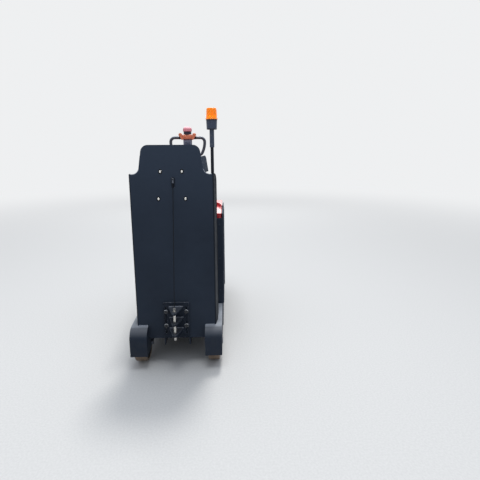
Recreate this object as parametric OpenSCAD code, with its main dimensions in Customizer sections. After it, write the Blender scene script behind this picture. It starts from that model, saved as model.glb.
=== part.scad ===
// Stand-on electric tow tractor for airport baggage carts, in millimetres.
// +Y is forwards, +X is to the driver's right and +Z is up.
// The origin is on the floor, below the middle of the machine.

/* [Main sizes] */
// Width across the hood's side covers
hood_w = 650; // [620:2:700]
// Step from the side covers in to the outer faces of the wheel boxes
deck_step = 13; // [10:1:20]
// Height of the flat deck on top of the wheel boxes
deck_z = 292; // [286:1:310]
// Height of the red battery cover's flat tray
tray_z = 1012; // [990:2:1040]
// Height of the lower edge of the wheel boxes
under_z = 100; // [80:1:110]
// Length of the driver's bay, from panel face to hood
bay_l = 335; // [320:1:360]
// Length of the red battery cover
cover_l = 522; // [480:2:540]
// Length of the front hood
nose_l = 465; // [440:1:500]

/* [Back panel] */
// Height of the top edge
panel_top = 1520; // [1500:1:1540]
// Height of the shoulders, where the narrow neck begins
shoulder_z = 1334; // [1325:1:1350]
// Step from the outer faces of the wheel boxes in to the panel's folds
panel_step = 39; // [36:1:50]
// Sheet thickness of the panel and its folded sides
panel_t = 5; // [4:0.5:6]
// Width of the neck, carried up to the top edge
neck_top_w = 365; // [350:1:375]
// Width of the neck, carried down to the shoulders
neck_foot_w = 421; // [410:1:430]
// Radius of the two top corners
neck_r = 48; // [30:1:60]
// Radius of the hollow corner between neck and shoulder
neck_fillet = 45; // [30:1:50]
// Outer radius of the two vertical folds
fold_r = 14; // [8:1:20]
// Forward reach of the lower side wings
wing_depth = 100; // [80:1:120]
// Outward lean of the lower side wings, in degrees
wing_splay = 8; // [0:1:10]
// Radius of the free corners of the wings
wing_r = 60; // [40:1:70]
// Forward reach of the ears beside the neck
ear_depth = 105; // [90:1:115]
// Outward lean of the ears, in degrees
ear_splay = 14; // [10:1:20]
// Height of the ears' lower end above the shoulders
ear_up = 8; // [4:1:12]
// Length of the ears
ear_l = 106; // [90:1:115]
// Distance from the shoulders down to the middle of the cord slot
slot_down = 54; // [50:1:70]
// Sideways place of the cord slot
slot_x = 10; // [0:1:12]
// Width of the cord slot
slot_w = 28; // [20:1:32]
// Height of the cord slot
slot_h = 72; // [60:1:80]
// Height of the panel's lowest edge, between the wheel boxes
foot_z = 197; // [190:1:200]

/* [Backrest] */
// Width of the pad on the driver's side
pad_w = 320; // [280:2:340]
// Height of the pad
pad_h = 300; // [260:2:310]
// Thickness of the pad
pad_t = 48; // [35:1:60]
// Corner radius of the pad
pad_r = 40; // [20:1:60]
// Width of the hand opening in the pad
hand_w = 84; // [80:1:100]
// Height of the hand opening in the pad
hand_h = 130; // [110:1:150]
// Radius of the release handle's grip
grip_r = 8; // [6:0.5:9]
// Length of the release handle's grip
grip_l = 56; // [50:1:70]

/* [Wheel boxes] */
// Distance from the panel's rear face back to the rear face of the wheel boxes
box_back = 74; // [70:1:85]
// Outside width of one wheel box
box_w = 116; // [112:1:130]
// Sheet thickness of the wheel boxes
box_t = 5; // [4:0.5:6]
// Bend radius between the deck and the rear face
box_r = 70; // [50:1:74]

/* [Wheels] */
// Diameter of the rear wheels and of the drive wheel
wheel_d = 250; // [240:2:256]
// Width of the tyres
tyre_w = 80; // [70:1:84]
// Radial thickness of the polyurethane tread
tread_t = 16; // [10:1:22]
// Radius of the wheel axles
axle_r = 12.5; // [10:0.5:15]
// Running clearance of the shafts, on the radius
shaft_gap = 0.08; // [0.05:0.01:0.1]
// Free space from the rear wheels to the rear face of their boxes
wheel_gap = 20; // [15:1:30]

/* [Frame] */
// Thickness of the floor plate
floor_t = 6; // [5:0.5:8]
// Thickness of the rubber mat
mat_t = 12; // [8:1:15]
// Distance between the two ribs below the floor
rib_gap = 174; // [140:2:200]
// Thickness of the ribs and side plates
rail_t = 8; // [6:1:10]
// Depth of the ribs below the floor
rib_h = 55; // [40:1:60]
// Height from the drive wheel's tyre to the plate that carries the drive
drive_gap = 95; // [90:1:110]
// Thickness of the plate that carries the drive
drive_t = 12; // [10:1:16]
// Width of the posts below the cover's hinges
post_w = 36; // [30:1:50]

/* [Hood] */
// Thickness of the covers
skin_t = 8; // [6:0.5:9]
// Height of the red cover's rear face
cover_h = 36; // [30:1:45]
// Wall thickness of the red cover
cover_t = 5; // [4:0.5:6]
// Corner radius of the red cover, seen from above
cover_r = 10; // [6:1:14]
// Height of the raised rim around the tray
rim_h = 22; // [15:1:30]
// Length of the tray
tray_l = 455; // [420:1:470]
// How square the tray's front end is
tray_square = 4.5; // [3:0.1:6]
// Gap around the red cover, where it moves
cover_gap = 5; // [5:0.5:8]
// Radius of the hood's front corners, seen from above
nose_r = 140; // [100:2:160]
// Step from the tray down to the rear edge of the front hood
nose_drop = 26; // [20:1:30]
// Fall of the front hood's top along its length
nose_fall = 98; // [80:1:110]
// Radius of the rounded brow
brow_r = 70; // [50:1:80]
// Rake of the front face, from the brow down to its upright part
nose_rake = 61; // [40:1:80]
// Height of the upright lower part of the front face
upright_h = 178; // [150:1:200]
// Radius of the headlamp
lamp_r = 45; // [40:1:50]
// Height of the headlamp above the deck
lamp_up = 308; // [290:1:330]
// Number of ventilation slots in each side of the front hood
vent_n = 6; // [3:1:8]
// Width of one ventilation slot
vent_w = 10; // [8:1:14]
// Thickness of the bumper's front face beyond the hood
bumper_t = 23; // [15:1:30]
// Height of the bumper
bumper_h = 170; // [150:1:178]

/* [Battery] */
// Length of the battery
battery_l = 315; // [280:5:330]
// Height of the battery
battery_h = 567; // [500:1:600]
// Free space round the battery
battery_gap = 24; // [15:1:30]

/* [Hitch] */
// Width of the backing plate
hitch_w = 174; // [160:2:190]
// Height of the backing plate's lower edge above the panel's
hitch_up = 8; // [5:1:15]
// Height of the backing plate
hitch_h = 258; // [240:1:270]
// Thickness of the backing plate
hitch_t = 14; // [10:1:18]
// Sideways distance between the two bolt slots
bolt_gap = 138; // [130:1:146]
// Width of the bolt slots
bolt_slot_w = 14; // [12:1:18]
// Length of the bolt slots
bolt_slot_h = 200; // [170:1:210]
// Reach of the tongues behind the backing plate
tongue_reach = 112; // [105:1:130]
// Width of each tongue at the plate
tongue_root = 100; // [90:2:110]
// Width of each tongue at its round tip
tongue_tip = 34; // [30:1:40]
// Thickness of each tongue
tongue_t = 12; // [10:1:14]
// Distance from the backing plate's upper edge down to the highest tongue
tongue_down = 29; // [25:1:35]
// Height from one tongue to the next
tongue_step = 78; // [70:1:80]
// Diameter of the tow pin
pin_d = 18; // [16:1:20]
// Distance of the tow pin behind the backing plate
pin_back = 75; // [70:1:85]
// Length of the tow pin below its collar
pin_l = 208; // [200:1:215]
// Diameter of the release cord
cord_d = 4; // [3:0.5:5]

/* [Beacon] */
// Diameter of the pole
pole_d = 21; // [18:1:26]
// Length of the pole
pole_l = 519; // [480:1:560]
// Distance from the shoulders down to the pole's lower end
pole_down = 238; // [200:1:260]
// Distance of the pole ahead of the panel
pole_in = 64; // [50:1:70]
// Distance of the pole from the wing
pole_gap = 3; // [2:0.5:6]
// Length of the socket that takes the pole, below the beacon base
socket_l = 112; // [90:1:130]
// Height of the dark beacon base
beacon_h = 65; // [50:1:70]
// Height of the amber lens
lens_h = 70; // [60:1:80]
// Diameter of the amber lens
lens_d = 71; // [68:1:80]

/* [Tiller] */
// Distance of the steering axis ahead of the front hood's rear edge
steer_in = 194; // [185:1:210]
// Height of the tiller's pivot pin above the front hood's rear edge
pivot_up = 59; // [55:1:70]
// Length of the tiller arm, from its pivot to the head
arm_l = 528; // [500:1:560]
// Width of the tiller arm
arm_w = 77; // [70:1:80]
// Depth of the tiller arm
arm_d = 50; // [40:1:54]
// Corner radius of the tiller arm
arm_r = 12; // [6:1:16]
// Width of the tiller head
head_w = 85; // [80:1:92]
// Height of the tiller head
head_h = 38; // [30:1:45]
// Reach of the throttle ears beside the head
ear_reach = 37; // [30:1:40]
// Width across the two hand loops
loop_w = 337; // [320:1:350]
// Diameter of the loops' tube
loop_d = 27; // [24:1:30]
// Turn of the loops' bowed outer bars, in degrees
loop_lean = 28; // [20:1:32]
// Length of the loops' bowed outer bars
loop_bar = 105; // [95:1:115]
// Radius of the belly button
button_r = 40; // [36:1:42]
// Height of the belly button
button_h = 41; // [35:1:45]
// Height of the black ring below the belly button
ring_h = 27; // [22:1:32]

/* [Drive] */
// Radius of the turning flange that hangs the drive from its plate
turn_r = 80; // [75:1:85]
// Height of the drive motor
motor_h = 210; // [180:5:240]
// Radius of the steering column
column_r = 35; // [30:1:40]

/* [Hidden] */

// Colours, as the photograph shows them
PANEL_C = [0.11, 0.13, 0.16];
STEEL_C = [0.13, 0.15, 0.18];
BLACK_C = [0.05, 0.05, 0.06];
RED_C = [0.75, 0.08, 0.08];
AMBER_C = [1.0, 0.45, 0.02];
ORANGE_C = [0.95, 0.38, 0.08];
ARM_C = [0.33, 0.38, 0.45];
TREAD_C = [0.55, 0.40, 0.25];
BRIGHT_C = [0.75, 0.75, 0.75];
GLASS_C = [0.9, 0.92, 0.95];
CASE_C = [0.2, 0.22, 0.25];

// Clearance of parts that rest on each other, overlap of parts that are one piece, and smoothness
seat = 0.3;
weld = 1;
fine = 96;
round_n = 64;
small_n = 48;

// Places along the machine
hinge_gap = 7;
total_l = tongue_reach + hitch_t + panel_t + bay_l + cover_l + 2 * hinge_gap + nose_l + bumper_t;
rear_y = -total_l / 2;
plate_y = rear_y + tongue_reach;
panel_y = plate_y + hitch_t;
bay_y0 = panel_y + panel_t;
bay_y1 = bay_y0 + bay_l;
cover_y1 = bay_y1 + cover_l;
hinge_y = cover_y1 + hinge_gap;
nose_y0 = hinge_y + hinge_gap;
nose_y = nose_y0 + nose_l;
bumper_y = nose_y + bumper_t;
corner_y = nose_y - nose_r;
steer_y = nose_y0 + steer_in;
pin_y = plate_y - pin_back;
box_y = panel_y - box_back;
wall_t = 6;
bulkhead_y = cover_y1 - 45;

// Places across the machine
skin_x = hood_w / 2;
frame_x = skin_x - skin_t;
box_out = skin_x - deck_step;
box_in = box_out - box_w;
fold_x = box_out - panel_step;
wheel_x = (box_in + box_out) / 2;
wheel_r = wheel_d / 2;
wheel_y = box_y + box_t + wheel_gap + wheel_r;

// Places in height
floor_z = foot_z + floor_t;
rail_z = under_z + box_t;
drive_z = wheel_d + drive_gap;
cover_z = tray_z - cover_h;
hinge_z = tray_z + 8;
nose_z = tray_z - nose_drop;
pivot_z = nose_z + pivot_up;
head_z = pivot_z + arm_l;
slot_z = shoulder_z - slot_down;
hitch_z = foot_z + hitch_up;
tongue_z = hitch_z + hitch_h - tongue_down;

// Points of an arc about c, from angle a0 to a1
function arc(c, r, a0, a1, n = 8) =
    [for (i = [0:n]) let (a = a0 + (a1 - a0) * i / n) [c[0] + r * cos(a), c[1] + r * sin(a)]];
// The same arc without its first point, to carry on a line
function arc_on(c, r, a0, a1, n = 8) = let (p = arc(c, r, a0, a1, n)) [for (i = [1:n]) p[i]];
// A half outline and its mirror image in one closed list
function mirrored(half) =
    concat(half, [for (i = [len(half) - 1:-1:0]) [-half[i][0], half[i][1]]]);

// Extrudes an outline drawn in Y and Z from x0 to x1
module along_x(x0, x1) {
    translate([x0, 0, 0]) rotate([90, 0, 90]) linear_extrude(x1 - x0) children();
}
// Extrudes an outline drawn in X and Z from y0 to y1
module along_y(y0, y1) {
    translate([0, y1, 0]) rotate([90, 0, 0]) linear_extrude(y1 - y0) children();
}
module block(x0, x1, y0, y1, z0, z1) {
    translate([x0, y0, z0]) cube([x1 - x0, y1 - y0, z1 - z0]);
}
module rod_x(x0, x1, r, n = small_n) {
    translate([x0, 0, 0]) rotate([0, 90, 0]) cylinder(r = r, h = x1 - x0, $fn = n);
}
module both() {
    children();
    mirror([1, 0, 0]) children();
}
// Rounded rectangle w by h about its middle
module rounded(w, h, r) {
    polygon(mirrored(concat(
        arc([w / 2 - r, h / 2 - r], r, 90, 0), arc([w / 2 - r, r - h / 2], r, 0, -90))));
}
// Oval that stands upright, w wide and h high
module upright_oval(w, h) {
    square([w, h - w], center = true);
    for (s = [-1, 1]) translate([0, s * (h - w) / 2]) circle(d = w, $fn = small_n);
}

// A round tube swept along points that lie in the X-Z plane
module flat_tube(path, r, sides = 14) {
    last = len(path) - 1;
    rings = [for (i = [0:last])
        let (a = path[max(i - 1, 0)], b = path[min(i + 1, last)], d = (b - a) / norm(b - a))
        for (k = [0:sides - 1]) let (t = 360 * k / sides)
            [path[i][0] - d[1] * r * cos(t), r * sin(t), path[i][1] + d[0] * r * cos(t)]];
    side_faces = [for (i = [0:last - 1], k = [0:sides - 1]) let (k2 = (k + 1) % sides)
        [i * sides + k, i * sides + k2, (i + 1) * sides + k2, (i + 1) * sides + k]];
    ends = [[for (k = [sides - 1:-1:0]) k], [for (k = [0:sides - 1]) last * sides + k]];
    polyhedron(rings, concat(side_faces, ends));
}

// FRAME
// Floor of the driver's bay and of the battery space
module floor_plate() {
    color(STEEL_C) translate([0, 0, foot_z]) linear_extrude(floor_t) polygon(mirrored([
        [box_in, bay_y0], [box_in, bay_y1], [frame_x - rail_t, bay_y1], [frame_x - rail_t, bulkhead_y]]));
}
// Two side plates beside the battery and two ribs below the floor
module frame_rails() {
    toe = 60;
    color(STEEL_C) both() {
        along_x(frame_x - rail_t, frame_x) polygon([
            [bay_y1, rail_z], [corner_y - toe, rail_z], [corner_y, rail_z + toe],
            [corner_y, drive_z], [bay_y1, drive_z]]);
        block(rib_gap / 2 - rail_t / 2, rib_gap / 2 + rail_t / 2, bay_y0, bulkhead_y, foot_z - rib_h, foot_z);
    }
}
// Cross walls, the plate that carries the drive, and the posts with the hinge bar
module front_frame() {
    bar_h = 25;
    bar_z = cover_z - 46;
    toe_w = 165;
    inner_x = frame_x - rail_t;
    color(STEEL_C) difference() {
        union() {
            block(-inner_x, inner_x, bulkhead_y, bulkhead_y + wall_t, foot_z - rib_h, drive_z + weld);
            translate([0, 0, drive_z]) linear_extrude(drive_t) hood_plan(bulkhead_y, skin_t + seat);
            block(-toe_w, toe_w, nose_y - 2 * skin_t, nose_y - skin_t - seat, rail_z, drive_z + weld);
            both() block(inner_x - post_w, inner_x, bulkhead_y, cover_y1, drive_z + weld, bar_z + bar_h);
            block(-inner_x + weld, inner_x - weld, cover_y1 - post_w, cover_y1, bar_z, bar_z + bar_h);
        }
        translate([0, steer_y, drive_z - weld]) cylinder(r = turn_r + 5, h = drive_t + 2 * weld, $fn = fine);
    }
}
// Rubber mat with long grooves
module platform_mat() {
    edge = 4;
    border = 25;
    groove_w = 4;
    groove_d = 3;
    pitch = 30;
    groove_n = floor((box_in - edge - border) / pitch);
    color(BLACK_C) difference() {
        block(-box_in + edge, box_in - edge, bay_y0 + edge, bay_y1 - edge, floor_z, floor_z + mat_t);
        for (i = [-groove_n:groove_n - 1]) translate([(i + 0.5) * pitch, 0, 0])
            block(-groove_w / 2, groove_w / 2, bay_y0 + border, bay_y1 - border,
                floor_z + mat_t - groove_d, floor_z + mat_t + weld);
    }
}

// Wheel box of the right side: bent deck and rear strip with both side walls
module wheel_box() {
    bend = [box_y + box_r, deck_z - box_r];
    color(STEEL_C) difference() {
        along_x(box_in, box_out) polygon(concat(
            [[bay_y1, under_z], [bay_y1, deck_z]], arc(bend, box_r, 90, 180, 14), [[box_y, under_z]]));
        along_x(box_in + box_t, box_out - box_t) polygon(concat(
            [[bay_y1 + weld, under_z - weld], [bay_y1 + weld, deck_z - box_t]],
            arc(bend, box_r - box_t, 90, 180, 14), [[box_y + box_t, under_z - weld]]));
        translate([0, wheel_y, wheel_r]) rod_x(box_in - weld, box_out + weld, axle_r + shaft_gap, round_n);
    }
}
module wheel_boxes() both() wheel_box();

// REAR WHEELS
// Stub axle through both walls of each box: flat head outside, nut inside
module rear_axles() {
    head_r = 21;
    head_t = 4;
    nut_r = 19;
    nut_t = 10;
    color(BRIGHT_C) both() translate([0, wheel_y, wheel_r]) {
        rod_x(box_in - nut_t - 2, box_out + weld, axle_r, round_n);
        rod_x(box_in - nut_t, box_in, nut_r, 6);
        rod_x(box_out, box_out + head_t, head_r, round_n);
    }
}

// Hub that turns on an axle: rim, web and boss in one casting, drawn from the middle outwards
module wheel_hub(boss_w) {
    rim_r = wheel_r - tread_t;
    rim_w = tyre_w / 2 - 2;
    rim_t = 9;
    web = 9;
    boss_r = axle_r + 16;
    bore_r = axle_r + shaft_gap;
    // one side of the section: radius and distance from the middle
    side = [[bore_r, boss_w / 2], [boss_r, boss_w / 2], [boss_r, web], [rim_r - rim_t - 3, web],
        [rim_r - rim_t, rim_w], [rim_r, rim_w]];
    color(BLACK_C) rotate([0, 90, 0]) rotate_extrude($fn = fine) polygon(concat(
        side, [for (i = [len(side) - 1:-1:0]) [side[i][0], -side[i][1]]]));
}
module wheel_tyre() {
    inner_r = wheel_r - tread_t;
    shoulder = 7;
    half = tyre_w / 2;
    color(TREAD_C) rotate([0, 90, 0]) rotate_extrude($fn = fine) polygon(concat(
        [[inner_r, -half]],
        arc([wheel_r - shoulder, -half + shoulder], shoulder, -90, 0, 6),
        arc([wheel_r - shoulder, half - shoulder], shoulder, 0, 90, 6),
        [[inner_r, half]]));
}
module at_rear_wheel(side) translate([side * wheel_x, wheel_y, wheel_r]) children();
rear_boss_w = box_w - 2 * box_t - 10;
module rear_hub_left() at_rear_wheel(-1) wheel_hub(rear_boss_w);
module rear_hub_right() at_rear_wheel(1) wheel_hub(rear_boss_w);
module rear_tyre_left() at_rear_wheel(-1) wheel_tyre();
module rear_tyre_right() at_rear_wheel(1) wheel_tyre();

// BACK PANEL
neck_lean = atan((neck_foot_w - neck_top_w) / 2 / (panel_top - shoulder_z));
function neck_x(z) = neck_top_w / 2 + (panel_top - z) * tan(neck_lean);

// Front view of the panel: round-topped neck, hollow shoulders, narrow foot
module panel_outline() {
    top_c = [neck_x(panel_top - neck_r) - neck_r / cos(neck_lean), panel_top - neck_r];
    fillet_c = [neck_x(shoulder_z + neck_fillet) + neck_fillet / cos(neck_lean), shoulder_z + neck_fillet];
    foot_x = box_in - weld;
    polygon(mirrored(concat(
        arc(top_c, neck_r, 90, neck_lean, 10),
        arc(fillet_c, neck_fillet, 180 + neck_lean, 270, 10),
        [[skin_x, shoulder_z], [skin_x, deck_z], [foot_x, deck_z], [foot_x, foot_z]])));
}
fold_c = [fold_x - fold_r, panel_y + fold_r];
// Plan of the folded sheet: flat back, two round folds and splayed wings
module panel_plan() {
    reach = (wing_depth - fold_r) / cos(wing_splay);
    run = [sin(wing_splay), cos(wing_splay)] * reach;
    outer = arc(fold_c, fold_r, -90, -wing_splay);
    inner = arc(fold_c, fold_r - panel_t, -wing_splay, -90);
    polygon(mirrored(concat(outer, [outer[len(outer) - 1] + run, inner[0] + run], inner)));
}
// Side view that rounds the free corners of the wings
module wing_outline() {
    y1 = panel_y + wing_depth;
    polygon(concat(
        [[panel_y - weld, foot_z], [bay_y0, foot_z], [bay_y0, deck_z]],
        arc([y1 - wing_r, deck_z + wing_r], wing_r, -90, 0),
        arc([y1 - wing_r, shoulder_z - wing_r], wing_r, 0, 90),
        [[bay_y0, shoulder_z], [bay_y0, panel_top], [panel_y - weld, panel_top]]));
}
// Splayed ear on the slanting side of the neck
module ear() {
    r = 22;
    z = shoulder_z + ear_up;
    translate([neck_x(z) - 0.5, panel_y + panel_t / 2, z])
        rotate([0, -neck_lean, 0]) rotate([0, 0, -ear_splay])
            along_x(-panel_t, 0) polygon(concat(
                [[0, 0], [ear_depth, 0]], arc([ear_depth - r, ear_l - r], r, 0, 90), [[0, ear_l]]));
}
module back_panel() {
    color(PANEL_C) difference() {
        union() {
            intersection() {
                translate([0, 0, foot_z]) linear_extrude(panel_top - foot_z) panel_plan();
                along_y(panel_y - weld, panel_y + wing_depth + weld) panel_outline();
                along_x(-skin_x, skin_x) wing_outline();
            }
            both() ear();
        }
        translate([slot_x, 0, slot_z]) along_y(panel_y - weld, bay_y0 + weld) upright_oval(slot_w, slot_h);
    }
}
// Inner face of a wing, as x for a given y
function wing_in(y) = fold_c[0] + (fold_r - panel_t) / cos(wing_splay) + (y - fold_c[1]) * tan(wing_splay);

// Soft backrest with an opening for the hand on the release handle
module backrest_pad() {
    low = 16;
    color(BLACK_C) translate([0, 0, slot_z]) along_y(bay_y0 + seat, bay_y0 + pad_t) difference() {
        translate([0, -low]) rounded(pad_w, pad_h, pad_r);
        translate([slot_x, 0]) upright_oval(hand_w, hand_h);
    }
}
// Hand grip across the slot, on a stem that reaches through it
stem_r = 4;
clamp_r = 6.5;
clamp_h = 32;
clamp_y = panel_y - clamp_r - seat;
stem_z = slot_z + slot_h / 2 - 15;
clamp_z = stem_z + 10 - clamp_h;
module release_handle() {
    y = bay_y0 + grip_r + seat;
    color(BLACK_C) translate([slot_x, 0, stem_z]) {
        translate([0, y, 0]) rod_x(-grip_l / 2, grip_l / 2, grip_r);
        translate([0, y, 0]) rotate([90, 0, 0]) cylinder(r = stem_r, h = y - clamp_y + clamp_r + 3, $fn = small_n);
    }
}
// Grey clamp that hangs the cord from the stem
module cord_clamp() {
    color(BRIGHT_C) translate([slot_x, clamp_y, 0]) difference() {
        translate([0, 0, clamp_z]) cylinder(r = clamp_r, h = clamp_h, $fn = small_n);
        translate([0, 0, stem_z]) rotate([90, 0, 0])
            cylinder(r = stem_r + seat, h = 4 * clamp_r, center = true, $fn = small_n);
    }
}

// HITCH
module hitch_plate() {
    r = 6;
    color(STEEL_C) translate([0, 0, hitch_z + hitch_h / 2]) along_y(plate_y, panel_y) difference() {
        rounded(hitch_w, hitch_h, r);
        for (s = [-1, 1]) translate([s * bolt_gap / 2, 0]) upright_oval(bolt_slot_w, bolt_slot_h);
    }
}
// One flat tongue: wide at the plate, tapering to a round tip
module tongue_outline() {
    tip_r = tongue_tip / 2;
    tip_c = [0, rear_y + tip_r];
    w = tongue_root / 2;
    l = plate_y - tip_c[1];
    lean = atan2(l, w) - acos(tip_r / norm([w, l]));
    polygon(concat([[-w, plate_y], [w, plate_y]], arc(tip_c, tip_r, lean, -180 - lean, 14)));
}
module hitch_tongues() {
    pin_gap = 1;
    color(STEEL_C) for (i = [0:2])
        translate([0, 0, tongue_z - tongue_t - i * tongue_step]) difference() {
            linear_extrude(tongue_t) tongue_outline();
            translate([0, pin_y, -weld]) cylinder(r = pin_d / 2 + pin_gap, h = tongue_t + 2 * weld, $fn = round_n);
        }
}
// Tow pin: collar that rests on the highest tongue, domed head with a cross hole, chamfered foot
collar_t = 4;
dome_h = 10;
module tow_pin() {
    r = pin_d / 2;
    collar_r = r + 4;
    dome_r = 7;
    chamfer = 5;
    hole_r = 2.6;
    color(BRIGHT_C) translate([0, pin_y, tongue_z + seat]) difference() {
        rotate_extrude($fn = round_n) polygon(concat(
            [[0, -pin_l], [r - chamfer, -pin_l], [r, chamfer - pin_l], [r, 0], [collar_r, 0], [collar_r, collar_t]],
            arc([0, collar_t + dome_h - dome_r], dome_r, 0, 90)));
        translate([0, 0, collar_t + dome_h / 2]) rod_x(-r, r, hole_r, 24);
    }
}
// Thin release cord from the pin's head up to the clamp in the slot
cord_foot = [0, pin_y, tongue_z + seat + collar_t + dome_h + seat];
cord_head = [slot_x, clamp_y, clamp_z - seat];
module pull_cord() {
    run = cord_head - cord_foot;
    flat = norm([run[0], run[1]]);
    color(BLACK_C) translate(cord_foot) rotate([0, 0, atan2(run[1], run[0])]) rotate([0, atan2(flat, run[2]), 0])
        cylinder(d = cord_d, h = norm(run), $fn = 24);
}

// BEACON
pole_y = bay_y0 + pole_in;
pole_x = wing_in(pole_y) - pole_gap - pole_d / 2;
pole_z = shoulder_z - pole_down;
beacon_z = pole_z + pole_l;
module beacon_pole() {
    color(BLACK_C) translate([pole_x, pole_y, pole_z]) cylinder(d = pole_d, h = pole_l, $fn = small_n);
}
// Two clamps that hold the pole to the inner face of the wing
module pole_clamps() {
    h = 24;
    half = pole_d / 2 + 6;
    // heights of the clamps below the shoulder
    downs = [65, 190];
    color(BLACK_C) for (down = downs) translate([0, 0, shoulder_z - down]) difference() {
        linear_extrude(h) polygon([
            [pole_x - half, pole_y - half], [wing_in(pole_y - half) - seat, pole_y - half],
            [wing_in(pole_y + half) - seat, pole_y + half], [pole_x - half, pole_y + half]]);
        translate([pole_x, pole_y, -weld]) cylinder(d = pole_d + 2 * seat, h = h + 2 * weld, $fn = small_n);
    }
}
// Base with the socket that slips over the pole
module beacon_base() {
    r = lens_d / 2;
    draft = 3;
    chamfer = 3;
    socket_t = 4.2;
    bore_r = pole_d / 2 + seat;
    color(BLACK_C) translate([pole_x, pole_y, beacon_z]) rotate_extrude($fn = round_n) polygon([
        [0, 0], [bore_r, 0], [bore_r, -socket_l], [bore_r + socket_t, -socket_l], [bore_r + socket_t, 0],
        [r - draft - chamfer, 0], [r - draft, chamfer], [r, beacon_h], [0, beacon_h]]);
}
module beacon_lens() {
    r = lens_d / 2;
    flange = 3.5;
    flange_h = 5;
    crown = 6;
    draft = 3;
    color(AMBER_C) translate([pole_x, pole_y, beacon_z + beacon_h]) rotate_extrude($fn = round_n)
        polygon(concat(
            [[0, 0], [r + flange, 0], [r + flange, flange_h], [r, flange_h + 3]],
            arc([r - draft - crown, lens_h - crown], crown, 5, 90), [[0, lens_h]]));
}

// HOOD
// Hood outline from above, drawn in from the outer skin by an inset
module hood_plan(y0, inset = 0) {
    c = [skin_x - nose_r, corner_y];
    polygon(mirrored(concat(arc(c, nose_r - inset, 90, 0, 14), [[skin_x - inset, y0]])));
}
module hood_rear_wall() {
    color(PANEL_C) {
        block(-frame_x + rail_t, frame_x - rail_t, bay_y1, bay_y1 + wall_t, floor_z, drive_z + weld);
        block(-frame_x + seat, frame_x - seat, bay_y1, bay_y1 + wall_t, drive_z + seat, cover_z);
    }
}
// Side cover with a rounded rear edge and a rounded upper edge
module side_cover() {
    r = skin_t - 1;
    y1 = nose_y0 - 3;
    color(PANEL_C) intersection() {
        translate([0, 0, deck_z]) linear_extrude(tray_z - deck_z) polygon(concat(
            [[frame_x, y1], [frame_x, bay_y1]], arc([skin_x - r, bay_y1 + r], r, -90, 0), [[skin_x, y1]]));
        along_y(bay_y1 - weld, y1 + weld) polygon(concat(
            [[frame_x - weld, deck_z - weld], [skin_x + weld, deck_z - weld], [skin_x + weld, tray_z - r]],
            arc([skin_x - r, tray_z - r], r, 0, 90), [[frame_x - weld, tray_z]]));
    }
}
module side_covers() both() side_cover();

// Side view of the front hood, drawn in by an inset: sloping top, round brow, raked face
upright_z = deck_z + upright_h;
brow_c = [nose_y - nose_rake - brow_r, nose_z - nose_fall - brow_r];
// Directions from the brow's middle to where the sloping top and the raked face leave it
function off_point(p) = acos(brow_r / norm(p - brow_c));
top_a = atan2(nose_z - brow_c[1], nose_y0 - brow_c[0]) - off_point([nose_y0, nose_z]);
face_a = atan2(upright_z - brow_c[1], nose_y - brow_c[0]) + off_point([nose_y, upright_z]);
function hood_top(y) = nose_z - (y - nose_y0) / tan(top_a);
function hood_face(z) = nose_y - (z - upright_z) * tan(face_a);
module nose_side(inset = 0) {
    foot = deck_z - (inset > 0 ? weld : 0);
    y0 = nose_y0 - (inset > 0 ? weld : 0);
    polygon(concat(
        [[y0, foot], [y0, hood_top(y0) - inset / sin(top_a)]],
        arc(brow_c, brow_r - inset, top_a, face_a),
        [[nose_y - inset, upright_z], [nose_y - inset, foot]]));
}
lamp_z = deck_z + lamp_up;
collar_r = 72;
collar_up = 33;
collar_z = hood_top(steer_y) + collar_up;
module front_hood() {
    collar_h = 48;
    collar_t = 6;
    throat_r = column_r + 11;
    vent_x = skin_x + weld;
    vent_in = 60;
    vent_y = nose_y0 + vent_in;
    vent_l = 130;
    vent_up = 108;
    vent_z = deck_z + vent_up;
    vent_pitch = 24;
    color(PANEL_C) difference() {
        union() {
            difference() {
                intersection() {
                    translate([0, 0, deck_z]) linear_extrude(nose_z) hood_plan(nose_y0);
                    along_x(-skin_x, skin_x) nose_side();
                }
                intersection() {
                    translate([0, 0, deck_z - weld]) linear_extrude(nose_z) hood_plan(nose_y0 - weld, skin_t);
                    along_x(-skin_x, skin_x) nose_side(skin_t);
                }
            }
            translate([0, steer_y, collar_z - collar_h]) cylinder(r = collar_r, h = collar_h, $fn = fine);
        }
        translate([0, steer_y, collar_z - 2 * collar_h]) cylinder(r = throat_r, h = 3 * collar_h, $fn = fine);
        translate([0, steer_y, collar_z - 2 * collar_h])
            cylinder(r = collar_r - collar_t, h = 2 * collar_h - 5 * collar_t, $fn = fine);
        translate([0, nose_y0, lamp_z]) rotate([-90, 0, 0]) cylinder(r = lamp_r + seat, h = nose_l + weld, $fn = fine);
        for (i = [0:vent_n - 1])
            block(-vent_x, vent_x, vent_y, vent_y + vent_l, vent_z + i * vent_pitch, vent_z + i * vent_pitch + vent_w);
    }
}
// Bumper that wraps round the front corners
module front_bumper() {
    drop = 12;
    z0 = deck_z - drop - bumper_h;
    color(STEEL_C) difference() {
        intersection() {
            translate([0, bumper_t, z0]) linear_extrude(bumper_h) hood_plan(corner_y - nose_r);
            block(-skin_x, skin_x, corner_y + seat, bumper_y + weld, z0 - weld, z0 + bumper_h + weld);
        }
        translate([0, 0, z0 - weld]) linear_extrude(bumper_h + 2 * weld) hood_plan(corner_y - nose_r, skin_t);
    }
}
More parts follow.
